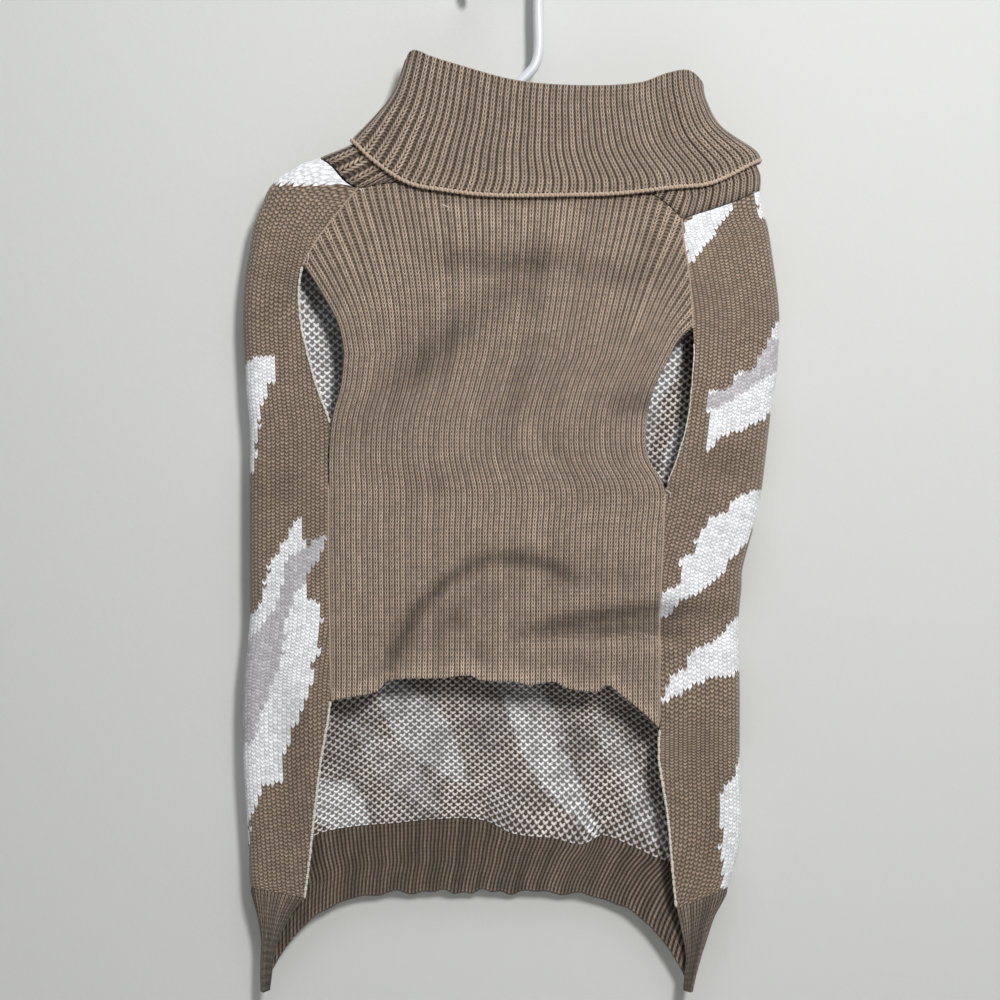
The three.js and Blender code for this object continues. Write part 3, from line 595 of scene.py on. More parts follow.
raglanLeftShares = [0, 0.055, 0.105, 0.15]
neckShares = [[-72, 0.2], [-35, 0.33], [-8, 0.43], [34, 0.6], [68, 0.74], [92, 0.82]]
raglanRightShares = [0.865, 0.885, 0.91, 0.94, 0.97, 1]
bellyHoleLeft = smoothLine([[-120.5, 193], [-109, 211], [-99.5, 229], [-96, 246]], 24)
bellyHoleRight = smoothLine([[113, 231], [104.5, 239], [99, 249]], 24)
bellyRows = np.array([
    [-96, 246, 99, 249], [-98, 266, 90, 268], [-103, 285, 85.5, 288], [-105, 306, 86.5, 308],
    [-105, 330, 96.5, 328], [-105, 354, 95, 354], [-104.5, 380, 94, 380], [-104, 406, 93.3, 406],
    [-104, 431, 93, 431], [-104, 454, 93, 470]])
bellyHemTable = [
    [-104, 454], [-90, 451], [-76, 448], [-70, 442], [-58, 440], [-39, 440], [-21, 438],
    [-14, 441], [6, 442], [16, 444], [30, 442], [38, 446], [55, 448], [62, 444], [70, 450],
    [80, 458], [93, 470]]

foldRadiusTable = [[60, 6.8], [130, 6.8], [180, 8.5], [300, 9], [520, 8.5], [570, 7], [600, 4.2], [632, 2.9]]
frontSwellTable = [[60, 2], [150, 3], [210, 5], [420, 6], [520, 4], [580, 1.5], [632, 0]]
backSwellTable = [[60, 2], [150, 2], [300, 3], [520, 3], [570, 2.5], [632, 0]]
fallSwellTable = [[60, 2], [90, 2.2], [120, 3.2], [151, 5.4]]
fallBackSwellTable = [[60, 2], [90, 2.2], [136, 3]]

# creases of the belly side: x1, drop1, x2, drop2, x3, drop3, depth, reach; a ridge has a minus
creases = np.array([
    [-70, 440, -52, 384, -6, 370, 6.5, 6], [-10, 372, 16, 368, 40, 382, 5.0, 6],
    [8, 417, 60, 404, 104, 402, 5.6, 6.5], [14, 417, 60, 412, 108, 414, 5.4, 6], [-44, 188, -5, 200, 38, 190, 3.8, 9],
    [-60, 262, -20, 232, 12, 196, 3.0, 11], [66, 280, 88, 278, 104, 281, 3.6, 8]])
smallCreases = np.array([
    [-62, 420, -44, 380, -2, 362, -1.5, 7], [12, 300, 26, 318, 36, 334, -2.2, 8],
    [24, 296, 40, 316, 48, 336, 1.8, 7], [14, 178, 22, 204, 16, 226, 1.8, 11],
    [92, 404, 112, 396, 136, 402, 2.4, 8], [96, 420, 112, 426, 134, 424, -1.6, 8],
    [-60, 322, -40, 326, -20, 322, 1.6, 9], [-52, 424, -30, 398, 6, 384, 1.8, 8],
    [14, 426, 60, 426, 100, 428, -2.4, 7], [-48, 360, -20, 356, 10, 356, -1.6, 8],
    [20, 392, 50, 380, 84, 384, 1.6, 7], [-34, 404, -28, 408, -22, 414, 2.4, 6],
    [-20, 424, -16, 428, -8, 432, 1.8, 6], [40, 196, 70, 206, 92, 200, 2.6, 9],
    [30, 424, 60, 424, 88, 420, -1.6, 8], [-128, 206, -136, 216, -146, 222, 1.2, 6],
    [-126, 200, -134, 200, -144, 196, 1.2, 6], [-130, 320, -142, 330, -150, 328, 1.2, 9],
    [112, 300, 132, 312, 150, 310, 1.8, 10], [-70, 160, -30, 168, 20, 166, -1.6, 9],
    [-92, 300, -60, 262, -20, 230, 1.8, 14], [30, 240, 12, 268, -4, 300, 1.8, 14],
    [-40, 440, -36, 424, -34, 410, 1.6, 6], [44, 446, 50, 430, 62, 420, 1.8, 6],
    [-136, 440, -122, 480, -128, 530, 1.6, 9], [118, 470, 130, 500, 122, 548, 1.6, 9],
    [-132, 360, -120, 396, -126, 420, -1.2, 8], [106, 236, 124, 262, 122, 300, -1.4, 9]])
backCreases = np.array([
    [-120, 180, -60, 230, 20, 250, 1.6, 12], [130, 190, 80, 240, 10, 262, 1.5, 12],
    [-110, 330, -40, 350, 30, 330, 1.2, 11], [20, 400, 70, 420, 120, 410, 1.4, 10],
    [-130, 460, -70, 450, -10, 470, 1.3, 11], [-40, 160, 10, 176, 60, 160, 1.0, 10],
    [40, 470, 60, 440, 66, 400, 0.9, 9], [-90, 250, -70, 300, -84, 340, -0.9, 10]])


def creaseDepth(table, x, drop, add):
    # each crease follows a bent line; depth = size * exp(-(distance / reach)^2), less at its ends
    total = np.zeros(x.shape)
    for x1, d1, x2, d2, x3, d3, size, reach in table:
        nearest, along = np.full(x.shape, 1e9), np.zeros(x.shape)
        for t in np.linspace(0, 1, 25):
            cx = (x1 * (1 - t) + x2 * t) * (1 - t) + (x2 * (1 - t) + x3 * t) * t
            cd = (d1 * (1 - t) + d2 * t) * (1 - t) + (d2 * (1 - t) + d3 * t) * t
            gap = np.hypot(x - cx, drop - cd)
            along = np.where(gap < nearest, t, along)
            nearest = np.minimum(gap, nearest)
        taper = np.sqrt(np.maximum(0, 4 * along * (1 - along)))
        depth = size * np.exp(-((nearest / reach) ** 2)) * (0.4 + 0.6 * taper)
        total = total + depth if add else np.maximum(total, depth)
    return total


def creaseShade(x, drop, side):
    # painted shade: the share of light that the depth of a crease takes, 0 on flat cloth
    depth = creaseDepth(creases, x, drop, False) + creaseDepth(smallCreases, x, drop, True)
    return np.where(side < 0, np.clip(depth / 5.0, 0, 1), 0)


def nearOutline(lines, x, drop):
    # distance to the nearer outline, and the direction from it inwards
    distance = np.full(x.shape, 1e9)
    inX, inDrop = np.zeros(x.shape), np.zeros(x.shape)
    for line, sign in ((lines[0], 1), (lines[1], -1)):
        for a, b in zip(line[:-1], line[1:]):
            dx, dd = b - a
            length = math.hypot(dx, dd)
            t = np.clip(((x - a[0]) * dx + (drop - a[1]) * dd) / length**2, 0, 1)
            gap = np.hypot(x - a[0] - dx * t, drop - a[1] - dd * t)
            closer = gap < distance
            distance = np.where(closer, gap, distance)
            inX = np.where(closer, sign * dd / length, inX)
            inDrop = np.where(closer, -sign * dx / length, inDrop)
    return distance, inX, inDrop


bodyForm = {"lines": (leftOutline, rightOutline), "radius": lambda drop: smoothAt(foldRadiusTable, drop),
            "front": frontSwellTable, "back": backSwellTable, "creased": True}
fallForm = {"lines": (fallLeft, fallRight), "radius": lambda drop: np.full(np.shape(drop), 10.2),
            "front": fallSwellTable, "back": fallBackSwellTable, "creased": False}


def clothPoint(form, x, drop, side, inward):
    # near the outline y = sqrt(r^2 - (r - distance)^2), towards the middle a slow swell;
    # inward moves the point into the cloth, square to its face
    x, drop, side, inward = np.broadcast_arrays(x, drop, side, inward)
    distance, inX, inDrop = nearOutline(form["lines"], x, drop)
    radius = form["radius"](drop)
    inset = np.maximum(0, radius - distance)
    rounded = np.sqrt(radius**2 - inset**2)
    rise = 1 - np.exp(-((distance / 45) ** 2))
    swell = np.where(side < 0, smoothAt(form["front"], drop), smoothAt(form["back"], drop))
    crease = 0
    if form["creased"]:
        front = creaseDepth(creases, x, drop, False) + creaseDepth(smallCreases, x, drop, True)
        crease = np.where(side < 0, front, creaseDepth(backCreases, x, drop, True))
    flatInward = np.where(inset > 0, 0, inward)
    depth = rounded * (1 - (inward - flatInward) / radius) - flatInward + swell * rise - crease * rise**0.3
    shift = inward * inset / radius
    return np.stack([x + inX * shift, side * depth, -(drop + inDrop * shift)], axis=-1)


def outlineX(line, drop):
    return np.interp(drop, line[:, 1], line[:, 0])


def rowAt(rows, share):
    # the row tables read smoothly between their rows; share counts rows from 0
    index = np.arange(len(rows))
    return [smoothAt(np.column_stack([index, rows[:, c]]), share) for c in range(rows.shape[1])]


def evenShares(rows, count):
    # row shares whose mean side drops are evenly spaced
    fine = np.linspace(0, len(rows) - 1, 600)
    values = rowAt(rows, fine)
    mean = (values[2] + values[5]) / 2
    return np.interp(np.linspace(mean[0], mean[-1], count + 1), mean, fine)


def flapPlace(edgeX, edgeDrop, sideX, sideDrop, radius, way):
    # way = length of cloth from the side fold towards the free edge, stopped at that edge
    width = np.abs(edgeX - sideX)
    bend = np.minimum(radius, width * 0.9)
    quarter = math.pi / 2 * bend
    way = np.minimum(way, width - bend + quarter)
    inside = np.where(way < quarter, bend * (1 - np.cos(way / bend)), way - quarter + bend)
    share = inside / width
    return sideX + (edgeX - sideX) * share, sideDrop + (edgeDrop - sideDrop) * share, way


def backRow(share, leftX, rightX, radius, leftDrop, rightDrop, middleDrop, bow):
    # share of the way from fold to fold over the back, a quarter turn at both; between them
    # drop = straight line + sag * (1 - |2u - 1|^bow), u = share of the width
    quarter, flat = math.pi / 2 * radius, rightX - leftX - 2 * radius
    way = share * (flat + 2 * quarter)
    x = np.where(way < quarter, leftX + radius * (1 - np.cos(way / radius)),
                 np.where(way > quarter + flat, rightX - radius * (1 - np.cos((flat + 2 * quarter - way) / radius)),
                          leftX + radius + way - quarter))
    u = (x - leftX) / (rightX - leftX)
    sag = middleDrop - (leftDrop + rightDrop) / 2
    return x, leftDrop + (rightDrop - leftDrop) * u + sag * (1 - np.abs(2 * u - 1) ** bow), u


def panelPlaces(rows, shares, leftWays, backShares, rightWays, backWales, wale):
    # places (x, drop, side) and the wale number of every column of the wrapped panel
    edgeLX, edgeLD, sideLD, edgeRX, edgeRD, sideRD, backD, bow = [v[:, None] for v in rowAt(rows, shares)]
    leftX, rightX = outlineX(leftOutline, sideLD), outlineX(rightOutline, sideRD)
    radius = smoothAt(foldRadiusTable, (sideLD + sideRD) / 2)
    lx, ld, lw = flapPlace(edgeLX, edgeLD, leftX, sideLD, radius, leftWays[None, :])
    rx, rd, rw = flapPlace(edgeRX, edgeRD, rightX, sideRD, radius, rightWays[None, :])
    bx, bd, _ = backRow(backShares[None, :], leftX, rightX, radius, sideLD, sideRD, backD, bow)
    x = np.concatenate([lx, bx, rx], axis=1)
    drop = np.concatenate([ld, bd, rd], axis=1)
    side = np.concatenate([-np.ones(lx.shape), np.ones(bx.shape), -np.ones(rx.shape)], axis=1)
    count = np.concatenate([-lw / wale, backShares[None, :] * backWales + 0 * bd, backWales + rw / wale], axis=1)
    return x, drop, side, count


# back panel: jersey jacquard

backKnit = {"wale": 2.7, "backWales": 118, "leftWales": 24, "rightWales": 26, "courses": 192,
            "wall": 2.0, "zigzag": 0.85, "seamGap": 0.3, "innerCourse": 0.9}
# how far the seam between the panel and its hem sags at each x, on the back
hemSeamSag = [[-130, 0], [-114, -2], [-90, 0], [-68, 1], [-26, -1], [-10, 1], [6, 8.5], [30, 11], [48, 14],
              [60, 7.5], [79, 11], [98, 13], [130, 0]]

# Camouflage-like patches. Each row: drop, first x, last x. Beyond the side fold x runs on
# round it, so a patch that passes the outline shows on the back as well.
whitePatches = [
    [[128, -120, -110], [133, -130, -103], [139, -139, -98], [142, -145, -97], [144, -104, -95]],
    [[247, -149, -139], [253, -158, -137], [260, -164, -137], [265, -167, -143], [285, -167, -147],
     [304, -163, -149], [317, -154, -151]],
    [[343, -124, -122], [354, -131, -121], [363, -134, -120], [370, -140, -120], [379, -142, -118],
     [391, -146, -119], [396, -147, -110], [404, -155, -110], [427, -167, -110], [432, -167, -115],
     [446, -169, -116], [462, -169, -122], [485, -169, -132], [503, -169, -133], [506, -169, -147],
     [517, -168, -149], [524, -167, -153], [544, -164, -155], [569, -158, -154]],
    [[155, 127, 138], [160, 118, 136], [167, 107, 131], [175, 108, 125], [184, 109, 118], [191, 110, 113]],
    [[147, 151, 169], [154, 152, 172], [163, 155, 169]],
    [[226, 165, 178], [235, 160, 179], [247, 155, 179], [254, 151, 178], [257, 140, 176],
     [266, 134, 173], [268, 122, 169], [279, 121, 164], [281, 124, 160], [286, 123, 154],
     [292, 122, 140], [298, 121, 127], [304, 121, 123]],
    [[327, 149, 167], [332, 140, 166], [341, 133, 161], [344, 124, 157], [355, 117, 148],
     [365, 114, 142], [368, 107, 136], [377, 107, 133], [383, 106, 125], [389, 96, 116],
     [394, 95, 107], [404, 94, 97]],
    [[403, 140, 155], [413, 133, 156], [419, 126, 155], [424, 111, 152], [433, 109, 149],
     [437, 103, 144], [441, 100, 121], [445, 97, 113], [453, 95, 100]],
    [[487, 142, 157], [497, 140, 160], [506, 134, 161], [514, 130, 160], [551, 131, 157],
     [571, 131, 152], [583, 130, 143]],
]
greyPatches = [
    [[354, -109, -104], [359, -115, -106], [364, -120, -109], [370, -121, -112], [374, -121, -116]],
    [[361, -122, -110], [370, -130, -113], [379, -132, -118], [388, -134, -124], [402, -140, -131],
     [412, -148, -131], [425, -161, -133], [451, -167, -142], [478, -166, -152], [482, -161, -157]],
    [[235, 160, 179], [247, 155, 178], [254, 151, 169], [260, 139, 155], [266, 134, 149],
     [271, 122, 139], [279, 121, 127]],
]
# invented ones on the side that the photo doesn't show: x, drop, half length, half width, lean, grey
hiddenPatches = [
    [-78, 205, 46, 13, 38, 0], [-96, 214, 26, 8, 30, 1], [20, 182, 40, 9, -34, 0],
    [88, 236, 42, 12, -48, 0], [98, 252, 24, 7, -40, 1], [-30, 286, 44, 12, -52, 0],
    [-112, 318, 30, 11, 56, 0], [42, 330, 50, 13, 44, 0], [28, 342, 30, 8, 40, 1],
    [-66, 390, 52, 14, 50, 0], [-78, 402, 30, 8, 46, 1], [104, 398, 34, 11, 50, 0],
    [18, 432, 46, 12, -40, 0], [-112, 470, 30, 10, -48, 0], [78, 480, 36, 10, 42, 0],
    [-30, 494, 34, 9, 36, 1],
]
# bands of paler backing stitches inside: x, drop, half length, half width, lean, strength
backingBands = [
    [-102, 520, 24, 16, 30, 1.0], [-51, 474, 46, 17, 50, 0.75], [-66, 498, 40, 12, 46, 0.4],
    [28, 496, 56, 12, 57, 1.0], [20, 462, 30, 10, 50, 0.6], [72, 493, 36, 8, 60, 0.5], [88, 528, 30, 9, 60, 0.45],
    [-108, 240, 70, 34, 75, 0.95], [-104, 160, 40, 12, 40, 0.5], [95, 262, 36, 8, -62, 1.0],
    [108, 300, 30, 7, -62, 0.7], [84, 300, 30, 6, -62, 0.6], [0, 240, 80, 18, 50, 0.8], [-50, 300, 80, 16, 50, 0.8],
    [50, 340, 80, 16, 50, 0.8], [-10, 180, 60, 14, -40, 0.8], [-30, 400, 80, 18, 50, 0.8], [60, 420, 70, 14, 55, 0.7],
]


def insideRows(rows, x, drop):
    # true between the first and last x of the row at that drop
    table = np.array(rows, dtype=float)
    first = np.interp(drop, table[:, 0], table[:, 1])
    last = np.interp(drop, table[:, 0], table[:, 2])
    return (drop > table[0, 0]) & (drop < table[-1, 0]) & (x > first) & (x < last)


def insideLens(x, drop, cx, cd, halfLength, halfWidth, lean):
    # a pointed lens: |q| < halfWidth * (1 - |p / halfLength|^1.6) in its own leaning axes
    angle = math.radians(lean)
    p = ((x - cx) * math.cos(angle) + (drop - cd) * math.sin(angle)) / halfLength
    q = (-(x - cx) * math.sin(angle) + (drop - cd) * math.cos(angle)) / halfWidth
    return 1 - np.abs(p) ** 1.6 - np.abs(q)


def makeBackPanel(materials):
    k = backKnit
    wale, courses = k["wale"], k["courses"]
    rng = np.random.default_rng(7)

    def build(step, rowCount, inward):
        leftWays = np.arange(k["leftWales"] * step, 0, -1) * wale / step
        rightWays = np.arange(1, k["rightWales"] * step + 1) * wale / step
        backShares = np.linspace(0, 1, k["backWales"] * step + 1)
        shares = evenShares(panelRows, rowCount)
        x, drop, side, count = panelPlaces(panelRows, shares, leftWays, backShares, rightWays, k["backWales"], wale)
        row = np.arange(rowCount + 1)[:, None] * (courses / rowCount)
        neck = (smoothAt(neckTable, x[:1]) - drop[:1]) * np.maximum(0, 1 - shares[:, None])
        drop = drop + np.where(side < 0, neck, 0)
        drop = drop + np.where(side > 0, smoothAt(hemSeamSag, x) * np.clip((shares[:, None] - 15) / 3, 0, 1) ** 2, 0)
        ends = np.clip(np.minimum(row, courses - row) / 3, 0, 1)
        middle = 1 - np.abs(2 * (count % 1) - 1)
        bent = drop + k["seamGap"] * (1 - row / courses * 2)
        # the cloth turns in a little along the two raglan seams and the belly's side seams
        sewnLeft = (x < 0) & ((drop < 205) | ((drop > 310) & (drop < 455)))
        sewnRight = (x > 0) & ((drop < 236) | ((drop > 332) & (drop < 466)))
        sewn = sewnLeft | sewnRight
        endWay = np.minimum(count - count[:, :1], count[:, -1:] - count) * wale
        tuck = np.where(sewn & (side < 0), 0.8 * np.exp(-((endWay / 2.2) ** 2)), 0)
        points = clothPoint(bodyForm, x, bent, side, inward + tuck)
        if step == 2:
            # the middle of each stitch hangs towards the next course of its own column
            points[:-1] += np.diff(points, axis=0) * (k["zigzag"] * middle * ends)[:-1, :, None]
        return points, x, drop, side, count, row + 0 * x

    def wideQuads(count):
        # leaves out the quads of columns that have run together at a free edge
        width = np.abs(np.diff(count, axis=1))
        return ((width[:-1] > 1e-4) | (width[1:] > 1e-4)).ravel()

    outer, x, drop, side, count, row = build(2, courses, 0.0)
    inner, ix, idrop, iside, icount, irow = build(1, courses // 2, k["wall"])

    # yarn of each stitch, taken at the middle of its two legs
    cx = (x[:-1, :-1] + x[1:, 1:]) / 2
    cd = (drop[:-1, :-1] + drop[1:, 1:]) / 2
    cs = side[:-1, :-1] * 1.0
    cs[:, k["leftWales"] * 2:] = side[:-1, 1:][:, k["leftWales"] * 2:]
    pair = lambda a: np.repeat(a.reshape(a.shape[0], -1, 2).mean(axis=2), 2, axis=1)
    px, pd, ps = pair(cx), pair(cd), pair(cs)
    leftX, rightX = outlineX(leftOutline, pd), outlineX(rightOutline, pd)
    unrolled = np.where(ps < 0, px, np.where(px < 0, 2 * leftX - px, 2 * rightX - px))
    jitter = np.repeat(rng.uniform(-1.2, 1.2, (pd.shape[0], pd.shape[1] // 2)), 2, axis=1)
    white = np.zeros(px.shape, dtype=bool)
    grey = np.zeros(px.shape, dtype=bool)
    for rows in whitePatches:
        white |= insideRows(rows, unrolled + jitter, pd)
    for rows in greyPatches:
        grey |= insideRows(rows, unrolled + jitter, pd)
    for hx, hd, halfLength, halfWidth, lean, isGrey in hiddenPatches:
        hit = (insideLens(px, pd, hx, hd, halfLength, halfWidth, lean) + jitter * 0.05 > 0) & (ps > 0)
        if isGrey:
            grey |= hit
        else:
            white |= hit
    # the third share is painted shade in the creases on the front flaps
    masks = np.stack([white & ~grey, grey, creaseShade(px, pd, ps)], axis=-1).reshape(-1, 3).astype(float)

    bx = (ix[:-1, :-1] + ix[1:, 1:]) / 2
    bd = (idrop[:-1, :-1] + idrop[1:, 1:]) / 2
    pale = np.zeros(bx.shape)
    for hx, hd, halfLength, halfWidth, lean, strength in backingBands:
        lens = insideLens(bx, bd, hx, hd, halfLength, halfWidth, lean)
        pale = np.maximum(pale, strength * np.clip(lens * 6 + 0.3, 0, 1))
    patchy = 0.5 + 0.5 * np.sin(bx * 0.11 + bd * 0.045) * np.sin(bx * 0.031 - bd * 0.05)
    innerMasks = np.stack([pale, patchy, 0 * pale], axis=-1).reshape(-1, 3)

    # rims: strips from the outer edge to the inner edge, along the same rows and columns
    innerEdge = clothPoint(bodyForm, x[:, [0, -1]], drop[:, [0, -1]], side[:, [0, -1]], k["wall"])
    innerFoot = clothPoint(bodyForm, x[-1], drop[-1] - k["seamGap"], side[-1], k["wall"])
    rimAcross, rimAlong = np.array([[0.0], [0.7]]), np.array([[0.0], [0.8]])
    rimPlace = mapGrid(rimAcross, -row[:, 0])
    points, quads, uv = joinGrids([
        (outer, outer - clothPoint(bodyForm, x, drop, side, k["wall"]), mapGrid(count, -row)),
        (inner, inner - clothPoint(bodyForm, ix, idrop, iside, 0.0), mapGrid(icount, -irow * k["innerCourse"])),
        (np.stack([outer[:, 0], innerEdge[:, 0]]), (1, 0, 0), rimPlace),
        (np.stack([outer[:, -1], innerEdge[:, 1]]), (-1, 0, 0), rimPlace),
        (np.stack([outer[-1], innerFoot]), (0, 0, -1), mapGrid(count[-1], rimAlong))])
    keep, innerKeep = wideQuads(count), wideQuads(icount)
    quads[0], quads[1] = quads[0][keep], quads[1][innerKeep]
    rimMasks = np.tile([0.2, 0.6, 0.0], (sum(len(q) for q in quads[2:]), 1))
    allMasks = np.concatenate([masks[keep], innerMasks[innerKeep], rimMasks])
    slots = np.concatenate([np.zeros(keep.sum()), np.ones(innerKeep.sum() + len(rimMasks))])
    piece = makeMesh("backPanelKnit", points, np.concatenate(quads), uv + [200, 400], allMasks, slots, materials)
    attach(piece, "root")
    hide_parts("back_panel")
    return piece


# belly panel: 1x1 rib

bellyKnit = {"ribs": 61, "perRib": 6, "fanRows": 56, "lowRows": 92, "wall": 2.0, "ribHeight": 0.85, "seamGap": 0.3,
             "course": 2.25, "closedRib": 3.6, "openRib": 5.2}
ribProfile = np.array([0.0, 0.72, 0.97, 1.0, 0.97, 0.72])  # height over one rib, furrow first


def bellyPlaces(columns, fanRows, lowRows):
    # a patch between the upper edge, the hole edges and the row at the middle of the holes:
    # top(u)(1-v) + bottom(u)v + left(v)(1-u) + right(v)u - the corners; then rows to the hem
    u = np.linspace(0, 1, columns + 1)
    leftShare = np.array(raglanLeftShares)
    lastLeft = len(raglanLeftShares) - 1
    fineLeft = np.linspace(0, lastLeft, 30)
    leftRows = rowAt(panelRows, lastLeft - fineLeft)
    fineRight = np.linspace(0, len(raglanRightShares) - 1, 40)
    rightRows = rowAt(panelRows, fineRight)
    shareL = np.interp(fineLeft, np.arange(lastLeft + 1), leftShare)
    shareR = np.interp(fineRight, np.arange(len(raglanRightShares)), raglanRightShares)
    neck = np.array(neckShares)
    share = np.concatenate([shareL, neck[:, 1], shareR])
    topX = np.interp(u, share, np.concatenate([leftRows[0] + 0.5, neck[:, 0], rightRows[3] - 0.5]))
    topD = np.interp(u, share, np.concatenate([leftRows[1], smoothAt(neckTable, neck[:, 0]), rightRows[4]]))
    onNeck = (u > raglanLeftShares[-1]) & (u < raglanRightShares[0])
    topD = np.where(onNeck, smoothAt(neckTable, topX), topD)
    v = np.linspace(0, 1, fanRows + 1)[:, None]
    left = np.stack([np.interp(v[:, 0], np.linspace(0, 1, 25), bellyHoleLeft[:, c]) for c in (0, 1)])
    right = np.stack([np.interp(v[:, 0], np.linspace(0, 1, 25), bellyHoleRight[:, c]) for c in (0, 1)])
    first = bellyRows[0]

    def fill(top, sideA, sideB, a, b):
        bottom = a + (b - a) * u
        return (top * (1 - v) + bottom * v + sideA[:, None] * (1 - u) + sideB[:, None] * u
                - ((top[0] * (1 - u) + top[-1] * u) * (1 - v) + (a * (1 - u) + b * u) * v))

    fanX = fill(topX, left[0], right[0], first[0], first[2])
    fanD = fill(topD, left[1], right[1], first[1], first[3])
    t = np.linspace(0, 1, lowRows + 1)[1:]
    leftDrop = bellyRows[0, 1] + (bellyRows[-1, 1] - bellyRows[0, 1]) * t
    column = lambda c: smoothAt(np.column_stack([bellyRows[:, 1], bellyRows[:, c]]), leftDrop)[:, None]
    lowX = column(0) + (column(2) - column(0)) * u
    level = leftDrop[:, None] + (column(3) - leftDrop[:, None]) * u
    hem = smoothAt(bellyHemTable, lowX)
    w = np.clip((t[:, None] - 0.62) / 0.38, 0, 1)
    w = w * w * (3 - 2 * w)
    straight = level + (hem - level) * w
    return np.concatenate([fanX, lowX]), np.concatenate([fanD, straight]), fanRows


def makeBellyPanel(material):
    k = bellyKnit
    columns = k["ribs"] * k["perRib"]
    x, drop, middleRow = bellyPlaces(columns, k["fanRows"], k["lowRows"])
    rows = x.shape[0]
    column = np.arange(columns + 1)
    rib = np.tile(ribProfile, k["ribs"] + 1)[:columns + 1]
    # the cloth turns in along the sewn edges, and its hem rolls a little outwards
    edge = np.minimum(x - x[:, :1], x[:, -1:] - x)
    sewnSide = (drop < 205) | (drop > 320)
    topWay = np.concatenate([[0], np.cumsum(np.full(rows - 1, 1.9))])[:, None]
    tuck = np.where(sewnSide, np.exp(-((edge / 2.2) ** 2)), 0.4 * np.exp(-((edge / 1.5) ** 2)))
    tuck = np.maximum(tuck, 0.8 * np.exp(-((topWay / 3.0) ** 2)))
    fromHem = drop[-1][None, :] - drop
    roll = 3.4 * np.exp(-((fromHem / 7.5) ** 2)) * (0.7 + 0.3 * np.sin(x * 0.21 + 0.7))
    # each rib ends in a small scallop
    scallop = 0.7 * (rib[None, :] - 0.5) * np.exp(-fromHem / 1.5)
    outer = clothPoint(bodyForm, x, drop + k["seamGap"] * np.exp(-topWay) + scallop, -1,
                       tuck - k["ribHeight"] * rib[None, :] - roll)
    # the inner face has every other row and every third column
    picked = np.ix_(np.arange(0, rows, 2) if rows % 2 else np.append(np.arange(0, rows, 2), rows - 1),
                    np.arange(0, columns + 1, 3))
    inner = clothPoint(bodyForm, x[picked], drop[picked], -1, k["wall"] + tuck[picked] - roll[picked])
    # courses are counted along each column, both ways from the row at the middle of the holes
    steps = np.hypot(np.diff(x, axis=0), np.diff(drop, axis=0))
    way = np.concatenate([np.zeros((1, columns + 1)), np.cumsum(steps, axis=0)])
    way = (way - way[middleRow]) / k["course"]
    count = np.broadcast_to(column / k["perRib"] + 0.0, x.shape)

    hemInner = clothPoint(bodyForm, x[-1], drop[-1], -1, k["wall"] - roll[-1])
    hemRim = np.stack([outer[-1], (outer[-1] + hemInner) / 2 + [0, 0, -0.9], hemInner])
    sideInner = clothPoint(bodyForm, x[:, [0, -1]], drop[:, [0, -1]], -1, k["wall"] + tuck[:, [0, -1]])
    rimAcross, hemAlong = np.array([[0.3], [0.7]]), np.array([[0.0], [0.4], [0.8]])
    points, quads, uv = joinGrids([
        (outer, (0, -1, 0), mapGrid(count, -way)),
        (inner, (0, 1, 0), mapGrid(count[picked] + 0.5, -way[picked])),
        (hemRim, (0, 0, -1), mapGrid(count[-1], hemAlong)),
        (np.stack([outer[:, 0], sideInner[:, 0]]), (-1, 0, 0), mapGrid(rimAcross, -way[:, 0])),
        (np.stack([outer[:, -1], sideInner[:, 1]]), (1, 0, 0), mapGrid(rimAcross, -way[:, -1]))])
    # how far the ribs stand apart: the width of a rib square to its own direction
    acrossX, acrossD = np.diff(x, axis=1)[:-1], np.diff(drop, axis=1)[:-1]
    downX, downD = np.diff(x, axis=0)[:, :-1], np.diff(drop, axis=0)[:, :-1]
    pitch = np.abs(acrossX * downD - acrossD * downX) / np.hypot(downX, downD) * k["perRib"]
    opened = np.clip((pitch - k["closedRib"]) / (k["openRib"] - k["closedRib"]), 0, 1)
    # painted shade in the creases, from their depth
    shade = creaseShade(x[1:, 1:], drop[1:, 1:], -1.0)
    # painted highlight: the rolled hem is made paler, as if it caught the light
    shade = np.clip(shade - 0.55 * np.exp(-((fromHem[1:, 1:] / 6.5) ** 2)), -0.5, 1)
    rest = np.zeros(sum(len(q) for q in quads[1:]))
    masks = np.column_stack([np.concatenate([opened.ravel(), rest]), np.zeros(opened.size + len(rest)),
                             np.concatenate([shade.ravel(), rest])])
    piece = makeMesh("bellyPanelKnit", points, np.concatenate(quads), uv + [100, 300], masks, materials=[material])
    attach(piece, "root")
    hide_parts("belly_panel")
    return piece


# hem band: 1x1 rib on both faces, its corners hang as points

hemKnit = {"backRibs": 122, "leftRibs": 17, "rightRibs": 18, "perRib": 5, "rows": 24, "courses": 18, "wall": 2.0,
           "ribHeight": 0.8, "open": 0.3, "innerOpen": 1.35, "waves": 9, "waveHeight": 1.3, "waveStart": -135,
           "waveEnd": 105}
hemProfile = np.array([0.0, 0.7, 1.0, 1.0, 0.7])


